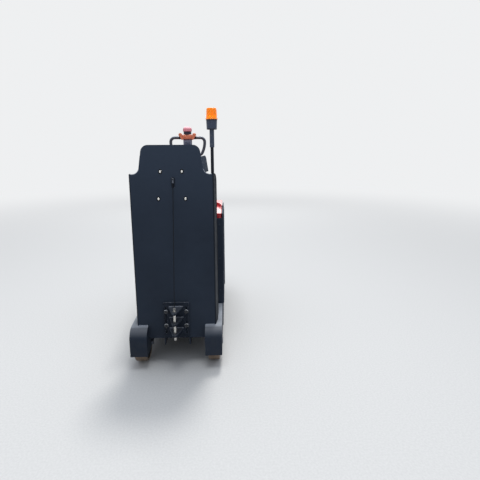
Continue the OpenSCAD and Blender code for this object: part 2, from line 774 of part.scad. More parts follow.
// Round lamp let into the raked face: cup with a thin rim
lamp_y = hood_face(lamp_z - lamp_r) + 4;
lamp_deep = 20;
module headlamp() {
    back = 20;
    rim = 5;
    step = 12;
    color(BLACK_C) translate([0, lamp_y, lamp_z]) rotate([-90, 0, 0]) rotate_extrude($fn = fine) polygon([
        [0, -lamp_deep - back], [lamp_r - 2 * rim, -lamp_deep - back], [lamp_r, -lamp_deep - back + step],
        [lamp_r, -rim], [lamp_r - rim, 0], [lamp_r - rim, -lamp_deep], [0, -lamp_deep]]);
}
module headlamp_lens() {
    t = 12;
    color(GLASS_C) translate([0, lamp_y - lamp_deep + seat, lamp_z]) rotate([-90, 0, 0])
        cylinder(r = lamp_r - 5 - seat, h = t, $fn = fine);
}

// BATTERY COVER
lid_x = frame_x - cover_gap;
// The tray's edge is a squared-off oval, tangent to the cover's sides at the rear
module tray_outline() {
    x0 = lid_x + weld;
    steps = 18;
    polygon(mirrored(concat(
        [for (i = [0:steps]) let (t = 90 - 90 * i / steps)
            [x0 * pow(cos(t), 2 / tray_square), bay_y1 + tray_l * pow(sin(t), 2 / tray_square)]],
        [[x0, bay_y1 - weld]])));
}
// The cover from above, drawn in by an inset
module lid_plan(inset = 0) {
    r = cover_r - min(inset, cover_r - 1);
    x = lid_x - inset;
    polygon(mirrored(concat(
        arc([x - r, cover_y1 - inset - r], r, 90, 0), arc([x - r, bay_y1 + inset + r], r, 0, -90))));
}
hinge_x = 210;
knuckle_r = 5;
knuckle_w = 18;
knuckle_gap = 1;
hinge_r = 3;
// Hollow lid with a sunk tray, a raised rim that sweeps round it, and a knuckle for each hinge
module battery_cover() {
    color(RED_C) difference() {
        union() {
            translate([0, 0, cover_z + seat]) linear_extrude(cover_h + rim_h - seat) lid_plan();
            for (s = [-1, 1]) translate([s * hinge_x, hinge_y, hinge_z]) {
                rod_x(-knuckle_w / 2, knuckle_w / 2, knuckle_r);
                block(-knuckle_w / 2, knuckle_w / 2, -hinge_gap - weld, 0, 1 - knuckle_r, knuckle_r - 1);
            }
        }
        translate([0, 0, cover_z - weld]) linear_extrude(cover_h - cover_t + weld) lid_plan(cover_t);
        translate([0, 0, tray_z]) linear_extrude(rim_h + weld) tray_outline();
        for (s = [-1, 1]) translate([s * hinge_x, hinge_y, hinge_z])
            rod_x(-knuckle_w / 2 - weld, knuckle_w / 2 + weld, hinge_r + shaft_gap);
    }
}
// Fixed half of each hinge: pin, two knuckles and the leaf on the frame's hinge bar
module cover_hinges() {
    w = 20;
    leaf_t = 2;
    x0 = knuckle_w / 2 + knuckle_gap;
    z0 = cover_z - 46;
    color(BLACK_C) for (s = [-1, 1]) translate([s * hinge_x, hinge_y, 0]) {
        translate([0, 0, hinge_z]) rod_x(-x0 - w, x0 + w, hinge_r);
        for (side = [-1, 1]) translate([side * (x0 + w / 2), 0, 0]) {
            translate([0, 0, hinge_z]) rod_x(-w / 2, w / 2, knuckle_r);
            block(-w / 2, w / 2, -leaf_t, leaf_t, z0, hinge_z);
        }
        block(-x0 - w, x0 + w, -hinge_gap, leaf_t, z0, z0 + w);
    }
}
module battery() {
    x = frame_x - rail_t - battery_gap;
    y0 = bay_y1 + wall_t + battery_gap;
    color(CASE_C) block(-x, x, y0, y0 + battery_l, floor_z, floor_z + battery_h);
}

// CONTROLS
console_y0 = nose_y0 + 30;
console_y1 = steer_y - collar_r - 8;
console_z = hood_top(console_y0) + 34;
console_x = 120;
module control_console() {
    lip_h = 16;
    slant = 26;
    color(BLACK_C) along_x(-console_x, console_x) polygon([
        [console_y0, hood_top(console_y0) + seat], [console_y1, hood_top(console_y1) + seat],
        [console_y1, console_z - slant / 3], [console_y1 - slant / 3, console_z],
        [console_y0 + slant, console_z], [console_y0, hood_top(console_y0) + lip_h]]);
}
module emergency_stop() {
    stem = 9;
    cap = 19;
    h = 27;
    color(RED_C) translate([console_x - 35, (console_y0 + 26 + console_y1 - 9) / 2, console_z + seat])
        rotate_extrude($fn = small_n) polygon([
            [0, 0], [stem, 0], [stem, h - 15], [cap - 1, h - 13], [cap, h - 7], [cap - 5, h - 1], [0, h]]);
}

// STEERING AND DRIVE
module at_steer(z = 0) translate([0, steer_y, z]) children();
bearing_h = 16;
module steering_bearing() {
    bearing_w = 32;
    color(BRIGHT_C) at_steer(drive_z + drive_t) difference() {
        cylinder(r = turn_r + bearing_w, h = bearing_h, $fn = fine);
        translate([0, 0, -weld]) cylinder(r = turn_r + shaft_gap, h = bearing_h + 2 * weld, $fn = fine);
    }
}
// Case beside the drive wheel, hung from the turning flange, with the wheel's axle
motor_z = drive_z + drive_t + bearing_h + 8;
module drive_case() {
    side_gap = 8;
    case_w = 50;
    case_r = 58;
    roof_t = 20;
    x0 = tyre_w / 2 + side_gap;
    roof_z = wheel_d + 15;
    color(STEEL_C) at_steer() {
        translate([0, 0, roof_z + roof_t]) cylinder(r = turn_r, h = motor_z - roof_z - roof_t, $fn = fine);
        block(-case_w, x0 + case_w, -case_r, case_r, roof_z, roof_z + roof_t);
        block(x0, x0 + case_w, -case_r, case_r, wheel_r, roof_z + weld);
        translate([0, 0, wheel_r]) rod_x(x0, x0 + case_w, case_r, round_n);
        translate([0, 0, wheel_r]) rod_x(-tyre_w / 2, x0 + weld, axle_r, round_n);
    }
}
module drive_motor() color(BLACK_C) at_steer(motor_z) cylinder(r = turn_r - 4, h = motor_h, $fn = fine);
module drive_hub() at_steer(wheel_r) wheel_hub(tyre_w);
module drive_tyre() at_steer(wheel_r) wheel_tyre();

cheek_r = 28;
column_z = pivot_z - cheek_r - 17;
module steering_column() {
    z0 = motor_z + motor_h;
    color(STEEL_C) at_steer(z0) cylinder(r = column_r, h = column_z - z0, $fn = round_n);
}
// Rubber boot with folds that turns with the column above the hood's collar
module column_boot() {
    lift = 5;
    brim_r = 64;
    brim_h = 4;
    folds = 3;
    pitch = 6.5;
    // each fold steps in from the last: outward edge, then inward edge
    edges = [for (i = [0:folds - 1], k = [0, 1]) [brim_r - 4 - i * 6 - k * 9, brim_h + i * pitch + k * pitch / 2]];
    bore_r = column_r + seat;
    color(BLACK_C) at_steer(collar_z + lift) rotate_extrude($fn = round_n) polygon(concat(
        [[bore_r, 0], [brim_r, 0]], edges, [[bore_r, brim_h + folds * pitch]]));
}
pin_r = 8;
module tiller_yoke() {
    base_r = 52;
    base_t = 9;
    cheek_t = 10;
    side_gap = 1;
    x = arm_w / 2 + side_gap;
    end = cheek_t + 5;
    color(STEEL_C) at_steer() {
        translate([0, 0, column_z]) cylinder(r = base_r, h = base_t, $fn = round_n);
        both() {
            block(x, x + cheek_t, -cheek_r, cheek_r, column_z + weld, pivot_z);
            translate([0, 0, pivot_z]) rod_x(x, x + cheek_t, cheek_r, round_n);
        }
        translate([0, 0, pivot_z]) rod_x(-x - end, x + end, pin_r);
    }
}

// TILLER
module tiller_arm() {
    color(ARM_C) at_steer() difference() {
        union() {
            translate([0, 0, pivot_z]) linear_extrude(arm_l) rounded(arm_w, arm_d, arm_r);
            translate([0, 0, pivot_z]) rod_x(-arm_w / 2, arm_w / 2, arm_d / 2, round_n);
        }
        translate([0, 0, pivot_z]) rod_x(-arm_w / 2 - weld, arm_w / 2 + weld, pin_r + shaft_gap);
    }
}
head_d = 64;
// Housing with rounded upper edges
module tiller_head() {
    r = 9;
    color(ORANGE_C) at_steer(head_z) intersection() {
        linear_extrude(head_h) rounded(head_w, head_d, r + 1);
        along_y(-head_d, head_d) polygon(mirrored(concat(
            [[head_w / 2, 0]], arc([head_w / 2 - r, head_h - r], r, 0, 90))));
        along_x(-head_w, head_w) polygon(mirrored(concat(
            [[head_d / 2, 0]], arc([head_d / 2 - r, head_h - r], r, 0, 90))));
    }
}
// Closed hand loop of the right side: out from the head, down in a long bow and back to the arm
module hand_loop() {
    upper_r = 38;
    lower_r = 26;
    top = head_z + 9;
    bow_r = loop_bar / (loop_lean * PI / 180);
    upper_c = [loop_w / 2 - loop_d / 2 - upper_r, top - upper_r];
    bow_c = upper_c + [upper_r - bow_r, 0];
    lower_c = bow_c + (bow_r - lower_r) * [cos(loop_lean), -sin(loop_lean)];
    flat_tube(concat(
        [[head_w / 2, top]], arc(upper_c, upper_r, 90, 0), arc_on(bow_c, bow_r, 0, -loop_lean),
        arc_on(lower_c, lower_r, -loop_lean, -90, 6), [[arm_w / 2, lower_c[1] - lower_r]]), loop_d / 2);
}
module tiller_loops() color(BLACK_C) at_steer() both() hand_loop();

// Butterfly ears on the driver's side of the head, each with a round lobe
module throttle_ears() {
    lobe_r = 14;
    root = 12;
    lobe = [head_w / 2 + ear_reach - lobe_r, head_h];
    color(ORANGE_C) at_steer(head_z) both() along_y(-head_d / 2 + 1, -loop_d / 2 - 1) polygon(concat(
        [[head_w / 2, -root], [head_w / 2 + root, -root]],
        arc(lobe, lobe_r, -35, 140, 12), [[head_w / 2, head_h - root]]));
}
module button_base() {
    color(BLACK_C) at_steer(head_z + head_h) cylinder(r = button_r - 5, h = ring_h, $fn = round_n);
}
// Mushroom button with a domed top
module belly_button() {
    dome_r = 24;
    edge = 2;
    color(RED_C) at_steer(head_z + head_h + ring_h) rotate_extrude($fn = round_n) polygon(concat(
        [[0, 0], [button_r - edge, 0], [button_r, edge]],
        arc([button_r - dome_r, button_h - dome_r], dome_r, 0, 90), [[0, button_h]]));
}

floor_plate();
frame_rails();
front_frame();
platform_mat();
wheel_boxes();
rear_axles();
rear_hub_left();
rear_tyre_left();
rear_hub_right();
rear_tyre_right();
back_panel();
backrest_pad();
release_handle();
cord_clamp();
hitch_plate();
hitch_tongues();
tow_pin();
pull_cord();
beacon_pole();
pole_clamps();
beacon_base();
beacon_lens();
hood_rear_wall();
side_covers();
front_hood();
front_bumper();
headlamp();
headlamp_lens();
battery_cover();
cover_hinges();
battery();
control_console();
emergency_stop();
steering_bearing();
drive_case();
drive_motor();
drive_hub();
drive_tyre();
steering_column();
column_boot();
tiller_yoke();
tiller_arm();
tiller_head();
tiller_loops();
throttle_ears();
button_base();
belly_button();
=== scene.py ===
"""Looks of the stand-on electric tow tractor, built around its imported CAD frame.

+Y is forwards, +X is to the driver's right, +Z is up, and every length is in metres.
"""

import random
from math import cos, exp, pi, radians, sin, tan

import bmesh
import bpy
from mathutils import Matrix, Vector


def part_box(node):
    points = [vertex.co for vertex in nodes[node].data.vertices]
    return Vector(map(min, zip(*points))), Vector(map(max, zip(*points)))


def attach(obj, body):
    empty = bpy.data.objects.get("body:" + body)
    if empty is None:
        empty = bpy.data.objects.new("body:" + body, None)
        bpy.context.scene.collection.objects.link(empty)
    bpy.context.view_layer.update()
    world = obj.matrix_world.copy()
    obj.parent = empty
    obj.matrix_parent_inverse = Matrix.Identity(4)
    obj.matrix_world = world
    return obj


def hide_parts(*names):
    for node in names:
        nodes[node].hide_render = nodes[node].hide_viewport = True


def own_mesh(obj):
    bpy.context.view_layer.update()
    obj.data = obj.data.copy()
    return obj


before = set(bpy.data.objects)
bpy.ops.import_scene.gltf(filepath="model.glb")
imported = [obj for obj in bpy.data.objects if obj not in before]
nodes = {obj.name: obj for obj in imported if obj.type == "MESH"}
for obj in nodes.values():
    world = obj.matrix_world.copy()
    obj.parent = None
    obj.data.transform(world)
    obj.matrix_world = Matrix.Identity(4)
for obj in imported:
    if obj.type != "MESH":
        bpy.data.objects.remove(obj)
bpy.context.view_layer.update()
scene = bpy.context.scene
rng = random.Random(7)
SIDES = (-1, 1)


def placed(name, data):
    """A new object in the scene."""
    made = bpy.data.objects.new(name, data)
    scene.collection.objects.link(made)
    return made


# Camera

CAMERA_PLACE = Vector((0.3598, -2.9689, 1.5216))
CAMERA_YAW = 0.0343
CAMERA_PITCH = -0.188
CAMERA_ROLL = -0.004
FOCAL_PX = 364
IMAGE_PX = 480
CENTRE_ROW = 213.5
SENSOR = 36


def add_camera():
    ahead = Vector((
        sin(CAMERA_YAW) * cos(CAMERA_PITCH),
        cos(CAMERA_YAW) * cos(CAMERA_PITCH),
        sin(CAMERA_PITCH)))
    level = Vector((cos(CAMERA_YAW), -sin(CAMERA_YAW), 0))
    above = level.cross(ahead)
    right = cos(CAMERA_ROLL) * level + sin(CAMERA_ROLL) * above
    up = cos(CAMERA_ROLL) * above - sin(CAMERA_ROLL) * level
    data = bpy.data.cameras.new("camera")
    data.sensor_width = SENSOR
    data.lens = FOCAL_PX / IMAGE_PX * SENSOR
    data.shift_y = (CENTRE_ROW - IMAGE_PX / 2) / IMAGE_PX
    data.clip_start = 0.05
    camera = placed("camera", data)
    camera.matrix_world = Matrix.Translation(CAMERA_PLACE) @ Matrix((right, up, -ahead)).transposed().to_4x4()
    scene.camera = camera


add_camera()


# Colours and node trees

def rgb(r, g, b):
    """A colour written as it looks on a screen, 0 to 255, as linear light."""
    return tuple(((c / 255 + 0.055) / 1.055) ** 2.4 if c > 10 else c / 255 / 12.92 for c in (r, g, b)) + (1,)


def scaled(colour, k):
    return tuple(min(c * k, 1) for c in colour[:3]) + (1,)


class Nodes:
    """A node tree, written from its textures to its output."""

    def __init__(self, tree):
        self.tree = tree

    def node(self, kind, inputs=(), **settings):
        made = self.tree.nodes.new("ShaderNode" + kind)
        for key, value in settings.items():
            setattr(made, key, value)
        for key, value in dict(inputs).items():
            self.feed(made.inputs[key], value)
        return made

    def feed(self, socket, value):
        if isinstance(value, bpy.types.NodeSocket):
            self.tree.links.new(value, socket)
        else:
            socket.default_value = value

    def math(self, operation, a, b=0.5, **settings):
        return self.node("Math", {0: a, 1: b}, operation=operation, **settings).outputs[0]

    def times(self, a, b):
        return self.math("MULTIPLY", a, b)

    def mix(self, fac, a, b):
        return self.node("Mix", {"Factor": fac, 6: a, 7: b}, data_type="RGBA").outputs[2]

    def blend(self, fac, a, b):
        """Mixes two shaders."""
        return self.node("MixShader", {"Fac": fac, 1: a.outputs[0], 2: b.outputs[0]}).outputs[0]

    def split(self, vector, axis):
        return self.node("SeparateXYZ", {"Vector": vector}).outputs[axis]

    def span(self, value, low, high, to_low=0.0, to_high=1.0, **settings):
        limits = {"Value": value, "From Min": low, "From Max": high, "To Min": to_low, "To Max": to_high}
        return self.node("MapRange", limits, **settings).outputs["Result"]

    def ramp(self, value, low, low_colour, high, high_colour):
        made = self.node("ValToRGB", {"Fac": value})
        for end, place, colour in zip(made.color_ramp.elements, (low, high), (low_colour, high_colour)):
            end.position = place
            end.color = colour
        return made.outputs["Color"]


def bare_nodes(holder):
    """The emptied node tree of a world or a material."""
    holder.use_nodes = True
    holder.node_tree.nodes.clear()
    return Nodes(holder.node_tree)


# Stage and light

BACKDROP = (0.86, 0.87, 0.88, 1)
SKY_LOW = (0.2, 0.21, 0.23, 1)
SKY_HIGH = (0.75, 0.8, 0.89, 1)
FLOOR = (0.62, 0.62, 0.61, 1)
FLOOR_BOUNCE = (0.27, 0.27, 0.275, 1)
FLOOR_REACH = 24
FADE_FROM, FADE_TO = 2.6, 11


def add_world():
    """A soft grey sky lights the object; the camera, metal and glass see the backdrop instead."""
    scene.world = bpy.data.worlds.new("studio")
    n = bare_nodes(scene.world)
    rays = n.node("LightPath").outputs
    seen = n.math("MAXIMUM", rays["Is Camera Ray"], rays["Is Glossy Ray"])
    seen = n.math("MAXIMUM", seen, rays["Is Transmission Ray"])
    up = n.split(n.node("TexCoord").outputs["Generated"], "Z")
    light = n.node("Background", {"Color": n.ramp(up, 0, SKY_LOW, 1, SKY_HIGH)})
    plain = n.node("Background", {"Color": BACKDROP})
    n.node("OutputWorld", {"Surface": n.blend(seen, light, plain)})


def add_floor():
    """A pale floor that keeps the shadow and fades into the backdrop all round."""
    mesh = bpy.data.meshes.new("floor")
    corners = ((-1, -1), (1, -1), (1, 1), (-1, 1))
    mesh.from_pydata([(x * FLOOR_REACH, y * FLOOR_REACH, 0) for x, y in corners], [], [(0, 1, 2, 3)])
    floor = placed("floor", mesh)
    material = bpy.data.materials.new("floor")
    n = bare_nodes(material)
    place = n.node("TexCoord").outputs["Object"]
    grain = n.node("TexNoise", {"Vector": place, "Scale": 90, "Detail": 6}).outputs["Fac"]
    rays = n.node("LightPath").outputs
    seen = n.math("MAXIMUM", rays["Is Camera Ray"], rays["Is Glossy Ray"])
    colour = n.mix(seen, FLOOR_BOUNCE, n.ramp(grain, 0.35, scaled(FLOOR, 0.93), 0.65, FLOOR))
    matt = n.node("BsdfDiffuse", {"Color": colour})
    glow = n.node("Emission", {"Color": BACKDROP})
    away = n.node("VectorMath", {0: place}, operation="LENGTH").outputs["Value"]
    fade = n.span(away, FADE_FROM, FADE_TO, interpolation_type="SMOOTHERSTEP")
    gate = n.times(fade, rays["Is Camera Ray"])
    n.node("OutputMaterial", {"Surface": n.blend(gate, matt, glow)})
    mesh.materials.append(material)


def add_lamp(kind, name, place, target, tint, **settings):
    data = bpy.data.lights.new(name, kind)
    data.color = tint
    for key, value in settings.items():
        setattr(data, key, value)
    lamp = placed(name, data)
    lamp.visible_camera = False
    place = Vector(place)
    aim = (Vector(target) - place).to_track_quat("-Z", "Y").to_matrix().to_4x4()
    lamp.matrix_world = Matrix.Translation(place) @ aim


def add_softbox(name, place, target, size, radiance, tint=(1, 1, 1)):
    """A rectangular softbox, by how bright its face looks."""
    watts = radiance * pi * size[0] * size[1]
    add_lamp("AREA", name, place, target, tint, shape="RECTANGLE", size=size[0], size_y=size[1], energy=watts)


add_world()
add_floor()
add_lamp("SUN", "key", (0.5, 1.9, 4.6), (0, 0, 0), (1.0, 0.975, 0.94), energy=1.5, angle=radians(12))
add_softbox("overhead", (0.1, -0.6, 4.6), (0.1, -0.6, 0), (1.3, 2.6), 7.0, (0.95, 0.975, 1.0))
add_softbox("front_strip", (0, 6.0, 2.9), (0, 0, 0.8), (5.0, 1.8), 2.2)
scene.view_settings.view_transform = "Standard"


# Sizes read from the frame

def middle(node):
    """Middle of a node's box."""
    low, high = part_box(node)
    return (low + high) / 2


PANEL_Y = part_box("back_panel")[0].y
PLATE_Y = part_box("hitch_plate")[0].y
PIN_Y = middle("tow_pin").y
PIN_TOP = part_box("tow_pin")[1].z
STEER_Y = middle("tiller_head").y
TONGUE_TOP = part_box("hitch_tongues")[1].z
CORD_LO, CORD_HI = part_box("pull_cord")
CLAMP = middle("cord_clamp")
HEAD_LO, HEAD_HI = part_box("tiller_head")
EAR_LO, EAR_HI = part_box("throttle_ears")
CONSOLE_LO, CONSOLE_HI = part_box("control_console")


# Materials

SETTLED_DUST = rgb(128, 131, 136)
GROUND_DUST = rgb(118, 108, 94)
# pale tone of level faces: worn paint, and a painted sky reflection
LEVEL_WEAR_AND_SHEEN = rgb(196, 202, 210)
WING_X, FOLD_W = 0.262, 0.004
PALE_FROM, PALE_TO = 0.9, 1.5
COAT_EDGE = 0.0012


class Finish(Nodes):
    """One procedural material, built up round its Principled shader."""

    def __init__(self, name, spec=0.5, **sockets):
        self.mat = bpy.data.materials.new(name)
        self.mat.use_nodes = True
        super().__init__(self.mat.node_tree)
        self.shader = self.tree.nodes["Principled BSDF"]
        self.shader.inputs["Specular IOR Level"].default_value = spec
        for socket, value in sockets.items():
            self.shader.inputs[socket.replace("_", " ")].default_value = value
        self.place = self.node("TexCoord").outputs["Object"]

    def finished(self, colour, rough, normal):
        for socket, value in (("Base Color", colour), ("Roughness", rough), ("Normal", normal)):
            self.feed(self.shader.inputs[socket], value)
        return self.mat

    def stretched(self, x, y, z):
        """The part's own coordinates, scaled along each axis."""
        return self.node("Mapping", {"Vector": self.place, "Scale": (x, y, z)}).outputs[0]

    def noise(self, scale, detail=4, rough=0.55, where=None):
        inputs = {"Vector": where or self.place, "Scale": scale, "Detail": detail, "Roughness": rough}
        return self.node("TexNoise", inputs).outputs["Fac"]

    def cloud(self, scale, detail=4, rough=0.55, low=0.3, high=0.7, to=(0, 1)):
        """Noise spread from one value to another."""
        return self.span(self.noise(scale, detail, rough), low, high, *to)

    def cells(self, scale, feature="F1"):
        inputs = {"Vector": self.place, "Scale": scale}
        return self.node("TexVoronoi", inputs, feature=feature).outputs["Distance"]

    def height_of(self, axis):
        return self.split(self.place, axis)

    def facing(self, axis):
        """How far the surface faces along an axis of the part at rest."""
        return self.split(self.node("TexCoord").outputs["Normal"], axis)

    def round_edges(self, radius):
        return self.node("Bevel", {"Radius": radius}, samples=4).outputs[0]

    def edge_mask(self, radius, gain=4.0):
        """0 on flat ground, rising to 1 on edges."""
        flat = self.node("NewGeometry").outputs["Normal"]
        along = self.node("VectorMath", {0: self.round_edges(radius), 1: flat}, operation="DOT_PRODUCT")
        return self.math("MULTIPLY", self.math("SUBTRACT", 1.0, along.outputs["Value"]), gain, use_clamp=True)

    def dust_and_top_highlight(self, most):
        """Rises to most where the surface faces upwards, unevenly as dust lies; the same mask lays painted
        top highlights where its colour is pale.
        """
        patchy = self.cloud(11, 6, 0.65, to=(0.75 * most, most))
        return self.times(self.span(self.facing("Z"), 0.25, 0.85), patchy)

    def bump(self, height, distance, normal=None):
        made = self.node("Bump", {"Height": height, "Distance": distance})
        if normal is not None:
            self.feed(made.inputs["Normal"], normal)
        return made.outputs[0]


def coated(name, colour, rough=(0.42, 0.56), spec=0.12, peel=0.00012, pitch=650, edge_light=1.9,
           dust=0.18, dust_top=0.5, dust_and_top_highlight=0.3, painted_light_high_up=1.0, level_wear_and_sheen=0.0, painted_wing_shade=1.0):
    """Powder coat on sheet steel: fine orange peel, dust low down and on top faces, paler worn edges.

    Of its last three factors, the first paints it paler high up, as painted light from above; the second
    paints its level faces paler, as wear and as a painted sky reflection; the third paints the sheet past the
    panel's folds darker, as painted shade.
    """
    f = Finish(name, spec)
    tone = f.mix(f.cloud(2.3, 5, 0.6, 0.35, 0.68), scaled(colour, 0.86), scaled(colour, 1.16))
    # painted light: the colour grows paler high up, as if lit more from above
    tone = f.mix(f.span(f.height_of("Z"), PALE_FROM, PALE_TO), tone, scaled(colour, painted_light_high_up))
    tone = f.mix(f.cloud(420, 2, low=0.6, high=0.78), tone, scaled(colour, 1.5))
    low = f.times(f.span(f.height_of("Z"), dust_top, 0.03), f.cloud(14, 6, 0.7, 0.35, 0.75))
    tone = f.mix(f.times(low, dust), tone, GROUND_DUST)
    tone = f.mix(f.dust_and_top_highlight(dust_and_top_highlight), tone, SETTLED_DUST)
    # level faces paler: worn paint, and a painted sky reflection on the decks
    if level_wear_and_sheen:
        patchy = f.cloud(17, 6, 0.7, 0.3, 0.6, to=(0.6, 1.0))
        level = f.times(f.span(f.facing("Z"), 0.93, 0.99), patchy)
        tone = f.mix(f.times(level, level_wear_and_sheen), tone, LEVEL_WEAR_AND_SHEEN)
    # painted shade: the sheet past the panel's folds is darkened
    if painted_wing_shade < 1:
        beyond = f.span(f.math("ABSOLUTE", f.height_of("X")), WING_X, WING_X + FOLD_W)
        tone = f.mix(beyond, tone, scaled(colour, painted_wing_shade))
    worn = f.times(f.edge_mask(COAT_EDGE * 1.6), f.cloud(60, low=0.32, high=0.6, to=(0.35, 1.0)))
    return f.finished(
        f.mix(worn, tone, scaled(colour, edge_light)),
        f.cloud(9, 6, 0.62, to=rough),
        f.bump(f.noise(pitch, 3, 0.5), peel, f.round_edges(COAT_EDGE)))


def bare_steel(name, colour, rough=(0.18, 0.36), pitch=260, stain=0.5):
    """Turned or zinc-plated steel: fine lines, faint stains."""
    f = Finish(name, Metallic=1.0)
    lines = f.noise(pitch, 5, 0.6)
    patch = f.cloud(40, 5, 0.6, 0.4, 0.72)
    tone = f.mix(f.times(patch, stain), colour, scaled(colour, 0.62))
    return f.finished(
        f.mix(f.span(lines, 0.4, 0.7, 0.0, 0.25), tone, scaled(colour, 1.15)),
        f.cloud(75, to=rough),
        f.bump(lines, 0.00005, f.round_edges(0.0005)))


def pin_steel(name, colour):
    """Turned steel, oiled and dark on the head that stands above the tongues."""
    f = Finish(name, Metallic=1.0)
    lines = f.noise(300, 5, 0.6, f.stretched(0.2, 0.2, 1))
    head = f.span(f.height_of("Z"), TONGUE_TOP - 0.001, TONGUE_TOP + 0.001)
    bright = f.mix(f.span(lines, 0.4, 0.7), scaled(colour, 0.8), colour)
    return f.finished(
        f.mix(head, bright, scaled(colour, 0.42)),
        f.span(head, 0, 1, 0.27, 0.5),
        f.bump(lines, 0.00005, f.round_edges(0.0005)))


def moulded(name, colour, rough=(0.42, 0.56), grain=900, depth=0.0001, spec=0.35, coat=0.0, dust=0.06,
            dust_and_top_highlight=0.0, top=SETTLED_DUST):
    """Moulded plastic: fine leathery grain, faint dust, soft edges, and a colour on upward faces: grey dust
    by default, and a painted top highlight where that colour is pale.
    """
    f = Finish(name, spec, Coat_Weight=coat, Coat_Roughness=0.06)
    tone = f.mix(f.cloud(6, low=0.35), scaled(colour, 0.9), scaled(colour, 1.1))
    # upward faces take the top colour: grey dust by default, a painted top highlight where it is pale
    tone = f.mix(f.dust_and_top_highlight(dust_and_top_highlight), tone, top)
    specks = f.times(f.cloud(180, 6, 0.7, 0.55, 0.8), dust)
    return f.finished(
        f.mix(specks, tone, rgb(150, 146, 138)),
        f.cloud(18, 5, to=rough),
        f.bump(f.cells(grain), depth, f.round_edges(0.0008)))


def rubber(name, colour, grain=300, depth=0.0003, scuff=0.35):
    """Rubber: matt, grainy, scuffed grey where it is trodden."""
    f = Finish(name, 0.3)
    worn = f.times(f.cloud(22, 7, 0.7, 0.48, 0.75), scuff)
    tone = f.mix(f.cloud(5, 3), scaled(colour, 0.85), scaled(colour, 1.2))
    return f.finished(
        f.mix(worn, tone, rgb(92, 88, 82)),
        f.cloud(40, to=(0.62, 0.85)),
        f.bump(f.noise(grain, 4, 0.6), depth, f.round_edges(0.0008)))


def tread(name):
    """Tan polyurethane tread with grey scuffs and grit."""
    f = Finish(name, 0.45)
    base = f.mix(f.cloud(16, 5), rgb(136, 116, 96), rgb(162, 140, 118))
    grime = f.cloud(48, 7, 0.72, 0.46, 0.74)
    cuts = f.noise(120, 6, 0.7, f.stretched(0.25, 1, 1))
    return f.finished(
        f.mix(f.times(grime, 0.7), base, rgb(88, 78, 68)),
        f.span(grime, 0, 1, 0.38, 0.75),
        f.bump(cuts, 0.0006, f.round_edges(0.001)))


def vinyl(name):
    """Black upholstery vinyl: leather grain that creases."""
    f = Finish(name, 0.4, Sheen_Weight=0.15, Sheen_Roughness=0.4)
    return f.finished(
        f.mix(f.cloud(8, low=0.35), rgb(26, 26, 28), rgb(40, 40, 43)),
        f.cloud(30, to=(0.4, 0.58)),
        f.bump(f.cells(420, "DISTANCE_TO_EDGE"), 0.0004, f.bump(f.noise(26, 5, 0.6), 0.0014)))


def amber(name):
    """Amber plastic with faint moulding haze; its orange glow is painted light, standing in for light passing
    through it.
    """
    f = Finish(name, 0.3, Transmission_Weight=0.4, IOR=1.49, Emission_Strength=0.2)
    haze = f.cloud(30)
    # painted glow: emission stands in for light passing through the lens
    f.feed(f.shader.inputs["Emission Color"], f.mix(haze, (1.0, 0.3, 0.0, 1), (1.0, 0.34, 0.0, 1)))
    return f.finished(
        f.mix(haze, (0.9, 0.32, 0.004, 1), (0.9, 0.37, 0.008, 1)),
        f.span(haze, 0, 1, 0.16, 0.3),
        f.bump(f.noise(260, 3), 0.00006))


def clear(name):
    """Clear lamp glass, faintly uneven."""
    colour = (0.97, 0.98, 1.0, 1)
    f = Finish(name, Transmission_Weight=1.0, IOR=1.5)
    return f.finished(colour, f.cloud(40, to=(0.01, 0.06)), f.bump(f.noise(180, 3), 0.00004))


def glowing(name, colour, strength):
    """A small light."""
    f = Finish(name, Emission_Strength=strength)
    for socket, dim in (("Base Color", 0.8), ("Emission Color", 0.85)):
        f.feed(f.shader.inputs[socket], f.mix(f.noise(200, 2), colour, scaled(colour, dim)))
    return f.mat


def braided(name):
    """Dark sheathed steel cord with a fine twist."""
    f = Finish(name, 0.2)
    inputs = {"Vector": f.stretched(1, 1, 1.4), "Scale": 260, "Distortion": 0}
    twist = f.node("TexWave", inputs, bands_direction="DIAGONAL").outputs["Fac"]
    return f.finished(
        f.mix(twist, rgb(8, 9, 12), rgb(20, 22, 27)), f.span(twist, 0, 1, 0.55, 0.38), f.bump(twist, 0.0003))


def lacquer(name, colour, rough, coat, edge=0.002):
    """Glossy coloured cover: slight waviness, fine scratches, faint dust."""
    f = Finish(name, 0.45, Coat_Weight=coat, Coat_Roughness=0.07)
    tone = f.mix(f.cloud(3, low=0.35), scaled(colour, 0.88), scaled(colour, 1.1))
    dirt = f.times(f.cloud(24, 7, 0.7, 0.52, 0.8), 0.14)
    peel = f.bump(f.noise(240, 2, 0.5), 0.00012, f.round_edges(edge))
    return f.finished(
        f.mix(f.times(f.edge_mask(edge), 0.3), f.mix(dirt, tone, rgb(150, 130, 118)), scaled(colour, 1.35)),
        f.cloud(35, 6, 0.7, to=rough),
        f.bump(f.noise(9, 2), 0.0012, peel))


def worn_steel(name, colour):
    """Painted tow gear rubbed through to the metal on its edges."""
    f = Finish(name, 0.12)
    chips = f.times(f.edge_mask(0.0016, 6.0), f.cloud(85, 6, 0.7, 0.4, 0.56))
    tone = f.mix(f.cloud(30, 6, 0.65, 0.35, 0.7), scaled(colour, 0.8), scaled(colour, 1.45))
    f.feed(f.shader.inputs["Metallic"], chips)
    return f.finished(
        f.mix(chips, f.mix(f.dust_and_top_highlight(0.22), tone, SETTLED_DUST), rgb(138, 145, 156)),
        f.cloud(26, 5, to=(0.36, 0.55)),
        f.bump(f.noise(420, 4, 0.6), 0.00018, f.round_edges(0.001)))


